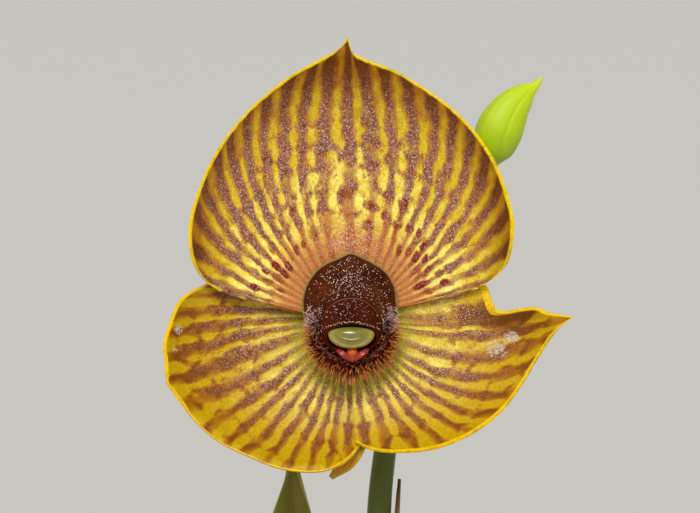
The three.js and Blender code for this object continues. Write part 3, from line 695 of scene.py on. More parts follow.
@dataclass(frozen=True)
class Perianth(Finish):
    """Striped petal tissue, its skin raised into tiny clear cells.

    The eye sees soft brown stripes netted across yellow ones. They turn mauve under a fine glitter of
    pale and rusty points, painted highlights where the raised cells catch the light, break up into dark
    red spots on an orange flush near the middle, and run out smooth and dark, partly painted shade,
    before a plain yellow margin.
    """

    ground: str = "#c8ac08"
    ground_pale: str = "#f2e06a"
    # The deep ground and the outer stripe colour darken the zone towards the margin, partly painted shade
    ground_deep: str = "#a88a04"
    stripe: str = "#7a4e36"
    stripe_outer: str = "#5e3004"
    spot: str = "#6e1009"
    flush: str = "#964818"
    flush_pale: str = "#b5743a"
    border: str = "#a2480c"
    border_depth: float = 0.38
    # Colours of the painted glints: pale, lilac and rusty points where the raised cells catch the light
    glitter: str = "#fae6cc"
    lilac: str = "#a68890"
    ember: str = "#a8420c"
    scar: str = "#b5a792"
    rim: str = "#dcbc0e"
    rim_width: float = 0.13
    net_width: float = 0.3
    mesh_length: float = 2.8
    softness: float = 0.53
    spot_rows: Pair = (0.0, 2.6)
    spot_length: float = 1.0
    spot_width: float = 0.5
    cell: float = 0.17

    def sockets(self, add: Callable, place: Any) -> Sockets:
        """Builds the nodes.

        Args:
            add: Adds a node.
            place: Object coordinates.

        Returns:
            The shader's inputs.
        """
        vein, distance, share, inner, warmth, frost, rim, links, pale, smooth_and_shaded, scarred, spots, spot_at = (
            add("Attribute", attribute_name=name).outputs["Fac"] for name in MARKS
        )
        grain = add("TexNoise", [place, per_mm(0.32), 2.0, 0.75])
        brown = self.network(add, vein, distance, share, links, grain)
        # Ground: yellow, cream where it is pale, deeper where it is smooth, partly painted shade towards the
        # margin
        cloud = add("TexNoise", [place, per_mm(1.5), 4.0])
        drift = add("MapRange", [cloud, 0.38, 0.68, -0.3, 0.4])
        creamy = add("Math", [drift, pale], "ADD", use_clamp=True)
        yellow = add("Mix", [creamy, self.ground, self.ground_pale], "RGBA")
        toned = add("Mix", [smooth_and_shaded, yellow, self.ground_deep], "RGBA")
        # Stripes: dark smooth brown near the margin, partly painted shade, mauve under the painted glints,
        # red towards the middle
        mauve = add("Mix", [smooth_and_shaded, self.stripe, self.stripe_outer], "RGBA")
        dark = add("Mix", [inner, mauve, self.flush], "RGBA")
        striped = add("Mix", [brown, toned, dark], "RGBA")
        # The stripes' borders are redder than their middles
        rest = add("Math", [1.0, brown], "SUBTRACT")
        bell = add("Math", [brown, rest], "MULTIPLY")
        border = add("MapRange", [bell, 0.0, 0.22, 0.0, self.border_depth])
        bordered = add("Mix", [border, striped, self.border], "RGBA")
        uneven = add("Math", [cloud, 0.7, 0.25], "MULTIPLY_ADD")
        streaked = add("Math", [brown, 0.5, uneven], "MULTIPLY_ADD")
        warmed = add("Math", [streaked, warmth], "MULTIPLY")
        heat = add("MapRange", [warmed, 0.0, 0.52, 0.0, 0.95])
        blush = add("Mix", [brown, self.flush_pale, self.flush], "RGBA")
        flushed = add("Mix", [heat, bordered, blush], "RGBA")
        rows = [self.spotting(add, vein, distance, spots, spot_at, grain, row) for row in self.spot_rows]
        dotted = add("Math", [rows[0], rows[1]], "MAXIMUM")
        spotted = add("Mix", [dotted, flushed, self.spot], "RGBA")
        patch = add("Math", [grain, 1.2, scarred], "MULTIPLY_ADD")
        dry = add("MapRange", [patch, 0.95, 1.25], "SMOOTHSTEP")
        worn = add("Mix", [dry, spotted, self.scar], "RGBA")
        outer, plain = self.rim_width * 1.6, self.rim_width * 0.6
        margin = add("MapRange", [rim, outer, plain], "SMOOTHSTEP")
        rimmed = add("Mix", [margin, worn, self.rim], "RGBA")
        # Painted highlights: glint points, and cells made lighter and darker, over the colour
        glittering, cells = self.sparkle(add, place, frost, brown, rimmed, grain)
        relief = add("Bump", {"Height": cells, "Strength": 0.4, "Distance": 0.05 * MM}, invert=True)
        return {"Base Color": glittering, "Roughness": 0.4, "Normal": relief, "Specular IOR Level": 0.12}

    def network(
        self, add: Callable, vein: Any, distance: Any, share: Any, links: Any, grain: Any
    ) -> bpy.types.Node:
        """Draws the stripes and the thinner lines that net them together.

        Args:
            add: Adds a node to the tree.
            vein: Stripe number, whole at the middle of a brown stripe.
            distance: Millimetres from the flower's middle.
            share: Share of the width that is brown.
            links: How strongly the stripes are netted.
            grain: Fine noise that roughens their edges.

        Returns:
            The node that gives the amount of brown.
        """
        # Pattern noise is drawn out along the vein
        drawn = add("Math", [distance, 0.24], "MULTIPLY")
        strand = add("CombineXYZ", [vein, drawn])
        wander = add("TexNoise", [strand, 1.1, 2.0])
        moved = add("Math", [wander, 0.5, vein], "MULTIPLY_ADD")
        centred = add("Math", [moved, 0.25], "SUBTRACT")
        turned = add("Math", [centred, math.tau], "MULTIPLY")
        swing = add("Math", [turned], "COSINE")
        wave = add("Math", [swing, 0.5, 0.5], "MULTIPLY_ADD")
        fine = add("Mapping", {"Vector": strand, "Scale": (5.0, 2.2, 1.0)})
        streaks = add("TexNoise", [fine, 1.0, 3.0, 0.6])
        breaks = add("TexNoise", [strand, 1.9, 4.0, 0.65])
        # The net's meshes are one stripe wide and mesh_length long
        mesh_along = add("Math", [distance, 1 / self.mesh_length], "MULTIPLY")
        mesh_place = add("CombineXYZ", [centred, mesh_along])
        sides = {"Vector": mesh_place, "Scale": 1.0, "Randomness": 0.65}
        net = add("TexVoronoi", sides, voronoi_dimensions="2D", feature="DISTANCE_TO_EDGE")
        thin = add("MapRange", [net, self.net_width, 0.0], "SMOOTHSTEP")
        kept = add("MapRange", [breaks, 0.38, 0.56])
        strength = add("Math", [kept, links], "MULTIPLY")
        laid = add("Math", [thin, strength], "MULTIPLY")
        netted = add("Math", [laid, 0.8, wave], "MULTIPLY_ADD")
        # All of it is one height, and what stands above the cut is brown
        brushed = add("Math", [streaks, 0.9, netted], "MULTIPLY_ADD")
        rough = add("Math", [grain, 0.5, brushed], "MULTIPLY_ADD")
        uneven = add("Math", [breaks, 1.3, share], "MULTIPLY_ADD")
        amount = add("Math", [uneven, -0.65], "ADD", use_clamp=True)
        angle = add("Math", [amount, math.pi], "MULTIPLY")
        arc = add("Math", [angle], "COSINE")
        cut = add("Math", [arc, 0.5, 1.2], "MULTIPLY_ADD")
        low = add("Math", [cut, self.softness], "SUBTRACT")
        high = add("Math", [cut, self.softness], "ADD")
        return add("MapRange", [rough, low, high], "SMOOTHSTEP")

    def spotting(
        self, add: Callable, vein: Any, distance: Any, spots: Any, spot_at: Any, grain: Any, row: float
    ) -> bpy.types.Node:
        """Sets one spot on some of the stripes, each a little further in or out.

        Args:
            add: Adds a node to the tree.
            vein: Stripe number.
            distance: Millimetres from the flower's middle.
            spots: How strong the spots are.
            spot_at: Their least distance from the flower's middle.
            grain: Fine noise that roughens their edges.
            row: Millimetres that this row lies further out.

        Returns:
            The node that gives the amount of spot.
        """
        nearest = add("Math", [vein], "ROUND")
        drawn = add("Math", [nearest, row * 7], "ADD")
        lot = add("TexWhiteNoise", {"W": drawn}, noise_dimensions="1D")
        draws = add("SeparateColor", [lot.outputs["Color"]])
        least = add("Math", [spot_at, row], "ADD")
        middle = add("Math", [draws.outputs["Red"], 2.2, least], "MULTIPLY_ADD")
        off = add("Math", [distance, middle], "SUBTRACT")
        shifted = add("Math", [draws.outputs["Blue"], 0.3, vein], "MULTIPLY_ADD")
        aside = add("Math", [shifted, nearest], "SUBTRACT")
        long = add("Math", [off, 1 / self.spot_length], "MULTIPLY")
        wide = add("Math", [aside, 1 / self.spot_width], "MULTIPLY")
        place = add("CombineXYZ", [long, wide])
        length = add("VectorMath", [place], "LENGTH").outputs["Value"]
        small = add("Math", [draws.outputs["Blue"], 0.8, 0.75], "MULTIPLY_ADD")
        away = add("Math", [length, small], "MULTIPLY")
        ragged = add("Math", [grain, 0.9, away], "MULTIPLY_ADD")
        mark = add("MapRange", [ragged, 1.45, 0.95], "SMOOTHSTEP")
        chosen = add("MapRange", [draws.outputs["Green"], 0.05, 0.45])
        some = add("Math", [mark, chosen], "MULTIPLY")
        return add("Math", [some, spots], "MULTIPLY")

    def sparkle(
        self, add: Callable, place: Any, frost: Any, brown: Any, colour: Any, grain: Any
    ) -> tuple[Any, Any]:
        """Paints glints over the colour: pale, rusty and dark points that stand in for the raised cells
        catching the light and falling into shade.

        Args:
            add: Adds a node to the tree.
            place: Object coordinates.
            frost: How thickly the points lie.
            brown: Amount of brown, which carries more of them.
            colour: The colour beneath.
            grain: Fine noise that clouds the colour.

        Returns:
            The colour with its painted glints, and the height of the raised cells.
        """
        value = add("MapRange", [grain, 0.3, 0.7, 0.78, 1.18])
        grained = add("HueSaturation", {"Value": value, "Color": colour})
        # Raised cells. Real ones are too fine to show, so these are drawn as coarse as they need to be
        cells = add("TexVoronoi", [place, per_mm(self.cell)])
        lot = add("SeparateColor", [cells.outputs["Color"]])
        carried = add("MapRange", [brown, 0.4, 1.0, 0.4, 1.0])
        amount = add("Math", [carried, frost], "MULTIPLY")
        # Painted highlight and shade: cells made lighter and darker where the glints lie
        dim = add("MapRange", [lot.outputs["Green"], 0.0, 0.7, 0.4, 1.2])
        faded = add("Mix", [amount, 1.0, dim], "FLOAT")
        shaded = add("HueSaturation", {"Value": faded, "Color": grained})
        # Painted glints in rust
        rusty = add("MapRange", [lot.outputs["Blue"], 0.7, 0.9, 0.0, 0.55])
        rust = add("Math", [rusty, amount], "MULTIPLY")
        embers = add("Mix", [rust, shaded, self.ember], "RGBA")
        # Painted glints: pale and lilac points at the middles of some cells
        lucky = add("MapRange", [lot.outputs["Red"], 0.3, 1.0, 0.0, 1.0])
        tint = add("Mix", [lot.outputs["Green"], self.glitter, self.lilac], "RGBA")
        height = cells.outputs["Distance"]
        centre = add("MapRange", [height, 0.65, 0.15], "SMOOTHSTEP")
        points = add("Math", [lucky, centre], "MULTIPLY")
        bright = add("Math", [points, amount], "MULTIPLY")
        return add("Mix", [bright, embers, tint], "RGBA"), height


@dataclass(frozen=True)
class Velvet(Finish):
    """Papillose callus tissue: a near-black maroon pile with browner worn patches and a thin tan rim."""

    pile: str = "#2b0902"
    worn: str = "#5a280a"
    rim: str = "#8e7c44"
    rim_from: float = 0.56
    rim_to: float = 0.42

    def sockets(self, add: Callable, place: Any) -> Sockets:
        """Builds the nodes.

        Args:
            add: Adds a node.
            place: Object coordinates.

        Returns:
            The shader's inputs.
        """
        along = add("Attribute", attribute_name="along").outputs["Fac"]
        cloud = add("TexNoise", [place, per_mm(2.4), 4.0])
        fine = add("TexNoise", [place, per_mm(0.2), 2.0, 0.7])
        both = add("Mix", [0.6, cloud, fine], "FLOAT")
        spread = add("MapRange", [both, 0.4, 0.64])
        pile = add("Mix", [spread, self.pile, self.worn], "RGBA")
        ragged = add("Math", [both, 0.3, along], "MULTIPLY_ADD")
        edge = add("MapRange", [ragged, self.rim_from, self.rim_to], "SMOOTHSTEP")
        colour = add("Mix", [edge, pile, self.rim], "RGBA")
        relief = add("Bump", {"Height": fine, "Strength": 0.8, "Distance": 0.1 * MM})
        return {"Base Color": colour, "Roughness": 0.75, "Normal": relief, "Specular IOR Level": 0.05}


@dataclass(frozen=True)
class Hair(Finish):
    """Plant hairs: dark and opaque at the root, clearer and paler towards the tip."""

    root: str
    shaft: str
    tip: str
    # Hairs above this height are paler, partly their own colour and partly painted highlight
    pale_above: float = 0.0  # Height in millimetres, or 0 for none
    pale: str = "#e9d3d6"
    varied: float = 0.5

    def sockets(self, add: Callable, place: Any) -> Sockets:
        """Builds the nodes.

        Args:
            add: Adds a node.
            place: Object coordinates.

        Returns:
            The shader's inputs.
        """
        along = add("Attribute", attribute_name="along").outputs["Fac"]
        vary = add("TexNoise", [place, per_mm(0.8), 2.0])
        shifted = add("Math", [vary, self.varied, along], "MULTIPLY_ADD")
        low = add("MapRange", [shifted, 0.35, 0.7])
        high = add("MapRange", [shifted, 0.75, 1.2])
        first = add("Mix", [low, self.root, self.shaft], "RGBA")
        colour = add("Mix", [high, first, self.tip], "RGBA")
        # Painted highlight, partly the hairs' own paler tone: hairs paler above a height
        if self.pale_above:
            height = add("SeparateXYZ", [place]).outputs["Z"]
            low_at, high_at = (self.pale_above - 1.5) * MM, (self.pale_above + 1.0) * MM
            band = add("MapRange", [height, low_at, high_at, 0.0, 0.6])
            tinted = add("Math", [band, low], "MULTIPLY")
            colour = add("Mix", [tinted, colour, self.pale], "RGBA")
        return {"Base Color": colour, "Roughness": 0.35, "Specular IOR Level": 0.25}


@dataclass(frozen=True)
class Glaze(Finish):
    """Wet smooth tissue: a clear coat over a cloudy colour, with a different edge."""

    heart: str
    edge: str
    edge_from: float = 0.5
    edge_to: float = 0.15
    speck: str = "#3a3a14"

    def sockets(self, add: Callable, place: Any) -> Sockets:
        """Builds the nodes.

        Args:
            add: Adds a node.
            place: Object coordinates.

        Returns:
            The shader's inputs.
        """
        margin = add("Attribute", attribute_name="along").outputs["Fac"]
        cloud = add("TexNoise", [place, per_mm(0.8), 3.0])
        shifted = add("Math", [cloud, 0.2, margin], "MULTIPLY_ADD")
        outer = add("MapRange", [shifted, self.edge_from, self.edge_to])
        toned = add("Mix", [outer, self.heart, self.edge], "RGBA")
        dim = add("MapRange", [cloud, 0.55, 0.35, 0.0, 0.3])
        colour = add("Mix", [dim, toned, self.speck], "RGBA")
        coat = {"Coat Weight": 0.8, "Coat Roughness": 0.06}
        return {"Base Color": colour, "Roughness": 0.3, "Specular IOR Level": 0.2, **coat}


@dataclass(frozen=True)
class PaintedFloor(Finish):
    """A plain matt pale floor, with just enough cloud in it not to look like paper."""

    tone: str = "#dddad4"

    def sockets(self, add: Callable, place: Any) -> Sockets:
        """Builds the nodes.

        Args:
            add: Adds a node.
            place: Object coordinates.

        Returns:
            The shader's inputs.
        """
        # Clouds about 170 mm wide
        cloud = add("TexNoise", [place, 6.0, 3.0])
        value = add("MapRange", [cloud, 0.0, 1.0, 0.97, 1.03])
        colour = add("HueSaturation", {"Value": value, "Color": self.tone})
        return {"Base Color": colour, "Roughness": 0.85, "Specular IOR Level": 0.2}


def finish_piece(
    name: str, bm: BMesh, finish: Finish, slot: Slot, *nodes: str, crease: float = 40.0
) -> None:
    """Turns a mesh in millimetres into a piece that rides on the part.

    Args:
        name: The piece's name.
        bm: Its mesh, which is freed.
        finish: What it is made of.
        slot: The record's slot for its finish; not used.
        nodes: The CAD nodes it stands for.
        crease: Edges sharper than this many degrees stay sharp.
    """
    bmesh.ops.remove_doubles(bm, verts=bm.verts, dist=WELD)
    bmesh.ops.recalc_face_normals(bm, faces=bm.faces)
    bmesh.ops.scale(bm, vec=(MM, MM, MM), verts=bm.verts)
    mesh = bpy.data.meshes.new(name)
    bm.to_mesh(mesh)
    bm.free()
    mesh.shade_smooth()
    mesh.set_sharp_from_angle(angle=math.radians(crease))
    mesh.materials.append(finish.material())
    piece = bpy.data.objects.new(name, mesh)
    bpy.context.scene.collection.objects.link(piece)
    if nodes:
        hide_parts(*nodes)
    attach(piece, "root")
    LOG.info("%s: %d faces", name, len(mesh.polygons))


# Basket


@dataclass
class Basket:
    """Cedar rails stacked log-cabin fashion on floor slats, held by wire pins and nails."""

    seed: int = 3
    rail_length: float = 104.0
    rail_width: float = 9.0
    rail_height: float = 8.0
    offset: float = 43.0
    layers: int = 7
    slat_width: float = 13.0
    slat_length: float = 95.0
    slat_pitch: float = 22.0
    hole: float = 1.45
    hole_margin: float = 1.1
    round_over: float = 0.8
    plain_end: float = 13.5
    bends: int = 8
    warp: float = 0.16
    grain_steps: Triple = (37.0, 11.3, 5.7)
    pin: float = 1.1
    pin_foot: Sequence[Pair] = ((0, 0.8), (1.9, 0.85), (2.2, 1.1), (2.15, 1.9), (1.8, 2.2), (1.1, 2.25))
    eye: float = 2.9
    eye_rise: float = 2.6
    wraps: Sequence[Pair] = ((0.85, 0.55), (1.9, 0.5))
    wrap_gap: float = 0.35
    wrap_tilt: float = 0.12
    nail: Sequence[Pair] = (
        (0, 0.5), (1.5, 0.55), (1.8, 0.8), (1.75, 1.4), (0.8, 1.6), (0.8, 11.5), (0.0, 13.0),
    )
    cedar: Finish = Cedar("weathered cedar")
    wire: Finish = GalvanisedWire("galvanised wire")

    def plank(self, length: float, width: float, holes: Sequence[Pair], seed: int) -> BMesh:
        """Shapes one rail or slat along X, standing on z = 0.

        Args:
            length: Along the grain.
            width: Across it.
            holes: Place of each pin's hole through it, as x and y.
            seed: Sets how it has warped and where its grain starts.

        Returns:
            The plank's mesh.
        """
        bm = new_mesh()
        grain = bm.verts.layers.float_vector.new("grain")
        bmesh.ops.create_cube(bm, size=1.0)
        bmesh.ops.scale(bm, vec=(length, width, self.rail_height), verts=bm.verts)
        bmesh.ops.translate(bm, vec=(0, 0, self.rail_height / 2), verts=bm.verts)
        bmesh.ops.bevel(
            bm, geom=bm.edges[:], affect="EDGES", offset=self.round_over, segments=3, profile=0.5,
            material=-1, clamp_overlap=True,
        )
        for x, y in holes:
            self.drill(bm, x, y)
        inner = length / 2 - self.plain_end
        for i in range(self.bends + 1):
            self.cut(bm, Vector((inner * (2 * i / self.bends - 1), 0, 0)), Vector((1, 0, 0)))
        shift = Vector([seed * step for step in self.grain_steps])
        for vert in bm.verts:
            vert[grain] = vert.co + shift
            if abs(vert.co.x) < inner + 1:
                warp = self.warp * noise.noise_vector(Vector((vert.co.x / 30, vert.co.y / 20, seed)))
                vert.co += Vector((0, warp.y, warp.z))
            vert.co.y = min(max(vert.co.y, -width / 2), width / 2)
            vert.co.z = min(max(vert.co.z, 0.0), self.rail_height)
        return bm

    @staticmethod
    def cut(bm: BMesh, place: Vector, normal: Vector) -> None:
        """Cuts the mesh's faces along a plane."""
        geom = bm.verts[:] + bm.edges[:] + bm.faces[:]
        bmesh.ops.bisect_plane(bm, geom=geom, dist=WELD, plane_co=place, plane_no=normal)

    def drill(self, bm: BMesh, x: float, y: float) -> None:
        """Opens a pin's hole from the top face to the bottom one.

        Args:
            bm: The plank's mesh.
            x: Place along the plank.
            y: Place across it.
        """
        reach = self.hole + self.hole_margin
        for side in (-1, 1):
            self.cut(bm, Vector((x + side * reach, 0, 0)), Vector((1, 0, 0)))
            self.cut(bm, Vector((0, y + side * reach, 0)), Vector((0, 1, 0)))
        centre = Vector((x, y))
        bm.normal_update()
        squares = [
            f for f in bm.faces
            if abs(f.normal.z) > 0.99 and (f.calc_center_median().xy - centre).length < 0.1
        ]
        rims = []
        for square in squares:
            bmesh.ops.inset_individual(bm, faces=[square], thickness=0.35)
            loop = list(square.edges)
            bmesh.ops.delete(bm, geom=[square], context="FACES_ONLY")
            split = bmesh.ops.subdivide_edges(bm, edges=loop, cuts=3)["geom_inner"]
            corners = {v for e in loop if e.is_valid for v in e.verts}
            corners |= {g for g in split if isinstance(g, BMVert)}
            for vert in corners:
                out = (vert.co.xy - centre).normalized() * self.hole
                vert.co.x, vert.co.y = x + out.x, y + out.y
            rims += [e for e in {e for v in corners for e in v.link_edges} if e.is_boundary]
        bmesh.ops.bridge_loops(bm, edges=rims)

    def build_wood(self) -> None:
        """Builds the fourteen rails and three floor slats."""
        # Vector noise, which warps the planks, starts from the clock unless it is seeded
        noise.seed_set(self.seed)
        for layer in range(self.layers):
            along_x = layer % 2 == 0
            walls = ("front", "back") if along_x else ("left", "right")
            for side, wall in zip((-1, 1), walls):
                holes = [(end * self.offset, 0.0) for end in (-1, 1)]
                bm = self.plank(self.rail_length, self.rail_width, holes, 2 * layer + side)
                height = layer * self.rail_height
                place = (0, side * self.offset, height) if along_x else (side * self.offset, 0, height)
                turn = Matrix.Identity(4) if along_x else Matrix.Rotation(math.pi / 2, 4, "Z")
                bmesh.ops.transform(bm, matrix=turn, verts=bm.verts)
                bmesh.ops.translate(bm, vec=place, verts=bm.verts)
                node = f"rail_{layer + 1}_{wall}"
                finish_piece(f"{node}_timber", bm, self.cedar, Slot.CEDAR, node)
        for row in (-1, 0, 1):
            bm = self.plank(self.slat_length, self.slat_width, [], 40 + row)
            bmesh.ops.translate(bm, vec=(0, row * self.slat_pitch, 0), verts=bm.verts)
            node = f"floor_slat_{row + 2}"
            finish_piece(f"{node}_timber", bm, self.cedar, Slot.CEDAR, node)

    def build_metal(self) -> None:
        """Builds the corner pins with their eyes, and the nails in the floor."""
        top = self.layers * self.rail_height
        shank = (*self.pin_foot, (self.pin, top + self.eye_rise), (0, top + self.eye_rise + 0.3))
        corners = [(x, y) for x in (-self.offset, self.offset) for y in (-self.offset, self.offset)]
        for i, (x, y) in enumerate(corners):
            bm = new_mesh()
            self.turned(bm, shank, x, y, 20)
            lean = Matrix.Rotation(math.pi / 4 + (math.pi / 2 if x * y > 0 else 0), 4, "Z")
            ring = lean @ Matrix.Rotation(math.pi / 2, 4, "X")
            eye = Matrix.Translation((x, y, top + self.eye_rise + self.eye)) @ ring
            self.loop(bm, eye, self.eye, self.pin, 40)
            for height, wire in self.wraps:
                wrap = Matrix.Translation((x, y, top + height)) @ Matrix.Rotation(self.wrap_tilt, 4, "X")
                self.loop(bm, wrap, self.pin + self.wrap_gap, wire, 24)
            node = f"corner_pin_{i + 1}"
            finish_piece(f"{node}_wire", bm, self.wire, Slot.WIRE, node)
        places = [(x, row * self.slat_pitch) for x in (-self.offset, self.offset) for row in (-1, 0, 1)]
        for i, (x, y) in enumerate(places):
            bm = new_mesh()
            self.turned(bm, self.nail, x, y, 16)
            node = f"floor_nail_{i + 1}"
            finish_piece(f"{node}_steel", bm, self.wire, Slot.WIRE, node)

    @staticmethod
    def turned(bm: BMesh, profile: Sequence[Pair], x: float, y: float, steps: int) -> None:
        """Spins a profile into a closed upright solid.

        Args:
            bm: The mesh that takes it.
            profile: Radius and height of each point, from pole to pole.
            x: The axis's place along X.
            y: Its place along Y.
            steps: Sides of the solid.
        """
        matrix = Matrix.Translation((x, y, 0))
        verts = [bm.verts.new(matrix @ Vector((r, 0, z))) for r, z in profile]
        spun(bm, verts + [bm.edges.new(pair) for pair in zip(verts, verts[1:])], matrix, steps)

    @staticmethod
    def loop(bm: BMesh, matrix: Matrix, radius: float, wire: float, steps: int) -> None:
        """Spins a wire's round section into a ring.

        Args:
            bm: The mesh that takes it.
            matrix: The ring's middle and axis.
            radius: The ring's radius, to the middle of the wire.
            wire: The wire's radius.
            steps: Sides of the ring.
        """
        turn = matrix @ Matrix.Translation((radius, 0, 0)) @ Matrix.Rotation(math.pi / 2, 4, "X")
        made = bmesh.ops.create_circle(bm, cap_ends=False, segments=12, radius=wire, matrix=turn)["verts"]
        spun(bm, made + list({e for v in made for e in v.link_edges}), matrix, steps)


# Moss


def moss_height(x: float, y: float) -> float:
    """Gives the height of the moss's solid, which is domed and gently lumpy.

    Args:
        x: Place across the basket.
        y: Place from front to back.

    Returns:
        The height there.
    """
    reach = min(1.0, math.hypot(x, y) / 52)
    tufts = 0.9 * math.sin(0.31 * x + 0.8) * math.sin(0.27 * y + 2.1)
    tufts += 0.6 * math.sin(0.52 * x - 0.37 * y + 1.2) + 0.4 * math.sin(0.83 * y + 0.61 * x)
    return 51.5 + 5.5 * (1 - reach**2) + tufts


@dataclass
class MossBed:
    """Sphagnum packed in the basket: a lumpy body under loose strands and small star-shaped heads."""

    seed: int = 5
    voxel: float = 1.3
    lump: float = 1.1
    top_strands: int = 3200
    side_strands: int = 4000
    heads: int = 1300
    head_size: Pair = (2.0, 3.7)
    strand_length: Pair = (2.6, 4.8)
    strand_bends: Triple = (1.0, 1.7, 2.4)
    top_from: float = 47.0
    top_reach: float = 44.0
    slit_from: float = 9.3
    rail_inside: float = 42.4
    root_room: float = 1.9
    stems: Sequence[Triple] = ((3.0, -1.4, 3.6), (0.5, 5.7, 5.2), (-23.2, 12.2, 4.4))  # x, y and room
    body: Finish = Moss("damp sphagnum", "#3a3512", "#6d6c2b", "#8f8d45")
    pale: Finish = Moss("pale sphagnum strands", "#94884a", "#c0b474", "#e6dcae")
    green: Finish = Moss("green sphagnum strands", "#5c6a20", "#8f9a3e", "#cdd07c")
    roots: list[Vector] = field(default_factory=list)

    def build(self) -> None:
        """Builds the body and lays the heads and loose strands over it."""
        body = self.lumpy_body()
        rng = random.Random(self.seed)
        spots = self.spots(body, rng)
        finish_piece("moss_body", body, self.body, Slot.MOSS, "moss", crease=ALL_SOFT)
        strands = [self.strand(bend) for bend in self.strand_bends]
        tops = [s for s in spots if s[0].z > self.top_from]
        sides = [s for s in spots if s[0].z <= self.top_from]
        for shade, finish, seed in (("pale", self.pale, 1), ("green", self.green, 2)):
            head = self.head(seed)
            cover = new_mesh()
            for place, normal in rng.sample(tops, self.heads // 2):
                size = rng.uniform(*self.head_size)
                foot, direction = place - 0.3 * normal, self.lean(normal, rng, 0.3)
                stand(cover, head, foot, direction, size, size, rng.uniform(0, ROLL))
            self.strew(cover, strands, tops, self.top_strands // 2, 0.85, rng)
            finish_piece(f"moss_top_{shade}", cover, finish, Slot.MOSS, crease=ALL_SOFT)
            fill = new_mesh()
            self.strew(fill, strands, sides, self.side_strands // 2, 0.96, rng)
            finish_piece(f"moss_sides_{shade}", fill, finish, Slot.MOSS, crease=ALL_SOFT)

    def strew(
        self, bm: BMesh, strands: Sequence[bpy.types.Mesh], spots: Sequence[tuple[Vector, Vector]],
        count: int, most: float, rng: random.Random,
    ) -> None:
        """Lays loose strands over part of the moss.

        Args:
            bm: The mesh that takes them.
            strands: The strands to choose from.
            spots: Places and their outward directions.
            count: How many strands.
            most: How far they may lie over, 1 being flat.
            rng: The seeded draws.
        """
        for place, normal in rng.choices(spots, k=count):
            long = rng.uniform(*self.strand_length)
            aside = Vector([rng.uniform(-0.6, 0.6) for _ in range(3)])
            foot = place + aside - normal * (0.2 + aside.dot(normal))
            direction, roll = self.lean(normal, rng, most), rng.uniform(0, ROLL)
            stand(bm, rng.choice(strands), foot, direction, long, long, roll)

    def lumpy_body(self) -> BMesh:
        """Remeshes a copy of the moss's solid finely and presses lumps into it.

        Returns:
            The body's mesh, in millimetres.
        """
        bm = bmesh.new()
        bm.from_mesh(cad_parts["moss"].data)
        bmesh.ops.scale(bm, vec=(1 / MM,) * 3, verts=bm.verts)
        bmesh.ops.remove_doubles(bm, verts=bm.verts, dist=1e-3)
        mesh = bpy.data.meshes.new("moss solid")
        bm.to_mesh(mesh)
        bm.free()
        solid = bpy.data.objects.new("moss solid", mesh)
        bpy.context.scene.collection.objects.link(solid)
        remesh = solid.modifiers.new("Remesh", "REMESH")
        remesh.mode = "VOXEL"
        remesh.voxel_size = self.voxel
        shaped = bpy.data.meshes.new_from_object(solid.evaluated_get(bpy.context.evaluated_depsgraph_get()))
        bpy.data.objects.remove(solid)
        body = new_mesh()
        body.from_mesh(shaped)
        bmesh.ops.smooth_vert(
            body, verts=body.verts, factor=0.5, use_axis_x=True, use_axis_y=True, use_axis_z=True
        )
        body.normal_update()
        for vert in body.verts:
            height = noise.fractal(vert.co * 0.28, 0.6, 2.1, 4)
            open_top = smooth(0.3, 0.8, vert.normal.z) if vert.co.z > 50 else 0.0
            vert.co += vert.normal * (self.lump * (height - 0.5 + 0.55 * open_top))
        return body

    def spots(self, body: BMesh, rng: random.Random) -> list[tuple[Vector, Vector]]:
        """Chooses where strands may grow.

        Args:
            body: The moss's body.
            rng: The seeded draws.

        Returns:
            Places and their outward directions, on the open top and between the rails.
        """
        body.normal_update()
        found = []
        for face in body.faces:
            place, normal = face.calc_center_median(), face.normal
            reach = max(abs(place.x), abs(place.y))
            between = self.slit_from < place.z < self.top_from
            outer = reach > self.rail_inside and abs(normal.z) < 0.6 and between
            top = normal.z > 0.25 and place.z > self.top_from and reach < self.top_reach
            if not (outer or top):
                continue
            if top and any((place.xy - Vector((x, y))).length < room for x, y, room in self.stems):
                continue
            if top and any((place - r).length < self.root_room for r in self.roots):
                continue
            found.append((place.copy(), normal.copy()))
        rng.shuffle(found)
        return found

    @staticmethod
    def lean(normal: Vector, rng: random.Random, most: float) -> Vector:
        """Tips a direction over at random.

        Args:
            normal: The direction that is tipped.
            rng: The seeded draws.
            most: 0 leaves it, 1 may lay it flat.

        Returns:
            The new unit direction.
        """
        sideways = Vector([rng.gauss(0, 1) for _ in range(3)])
        sideways = (sideways - normal * sideways.dot(normal)).normalized()
        share = most * (0.35 + 0.65 * rng.random())
        return (normal * (1 - share) + sideways * share).normalized()

    @staticmethod
    def strand(bend: float) -> bpy.types.Mesh:
        """Makes one curled leafy strand, one unit long, knobbly where its leaves overlap.

        Args:
            bend: How far it curls over, in radians.

        Returns:
            The template.
        """
        knobs = (0.03, 0.085, 0.055, 0.09, 0.05, 0.075, 0.0)
        steps = len(knobs) - 1
        arc = [bend * i / steps for i in range(steps + 1)]
        curl = Curve([((1 - math.cos(a)) / bend, 0.08 * math.sin(2 * a), math.sin(a) / bend) for a in arc])
        bm = new_mesh()
        stemmed(bm, 4, steps, curl, lambda t, _: knobs[round(t * steps)])
        return template_of("strand", bm)

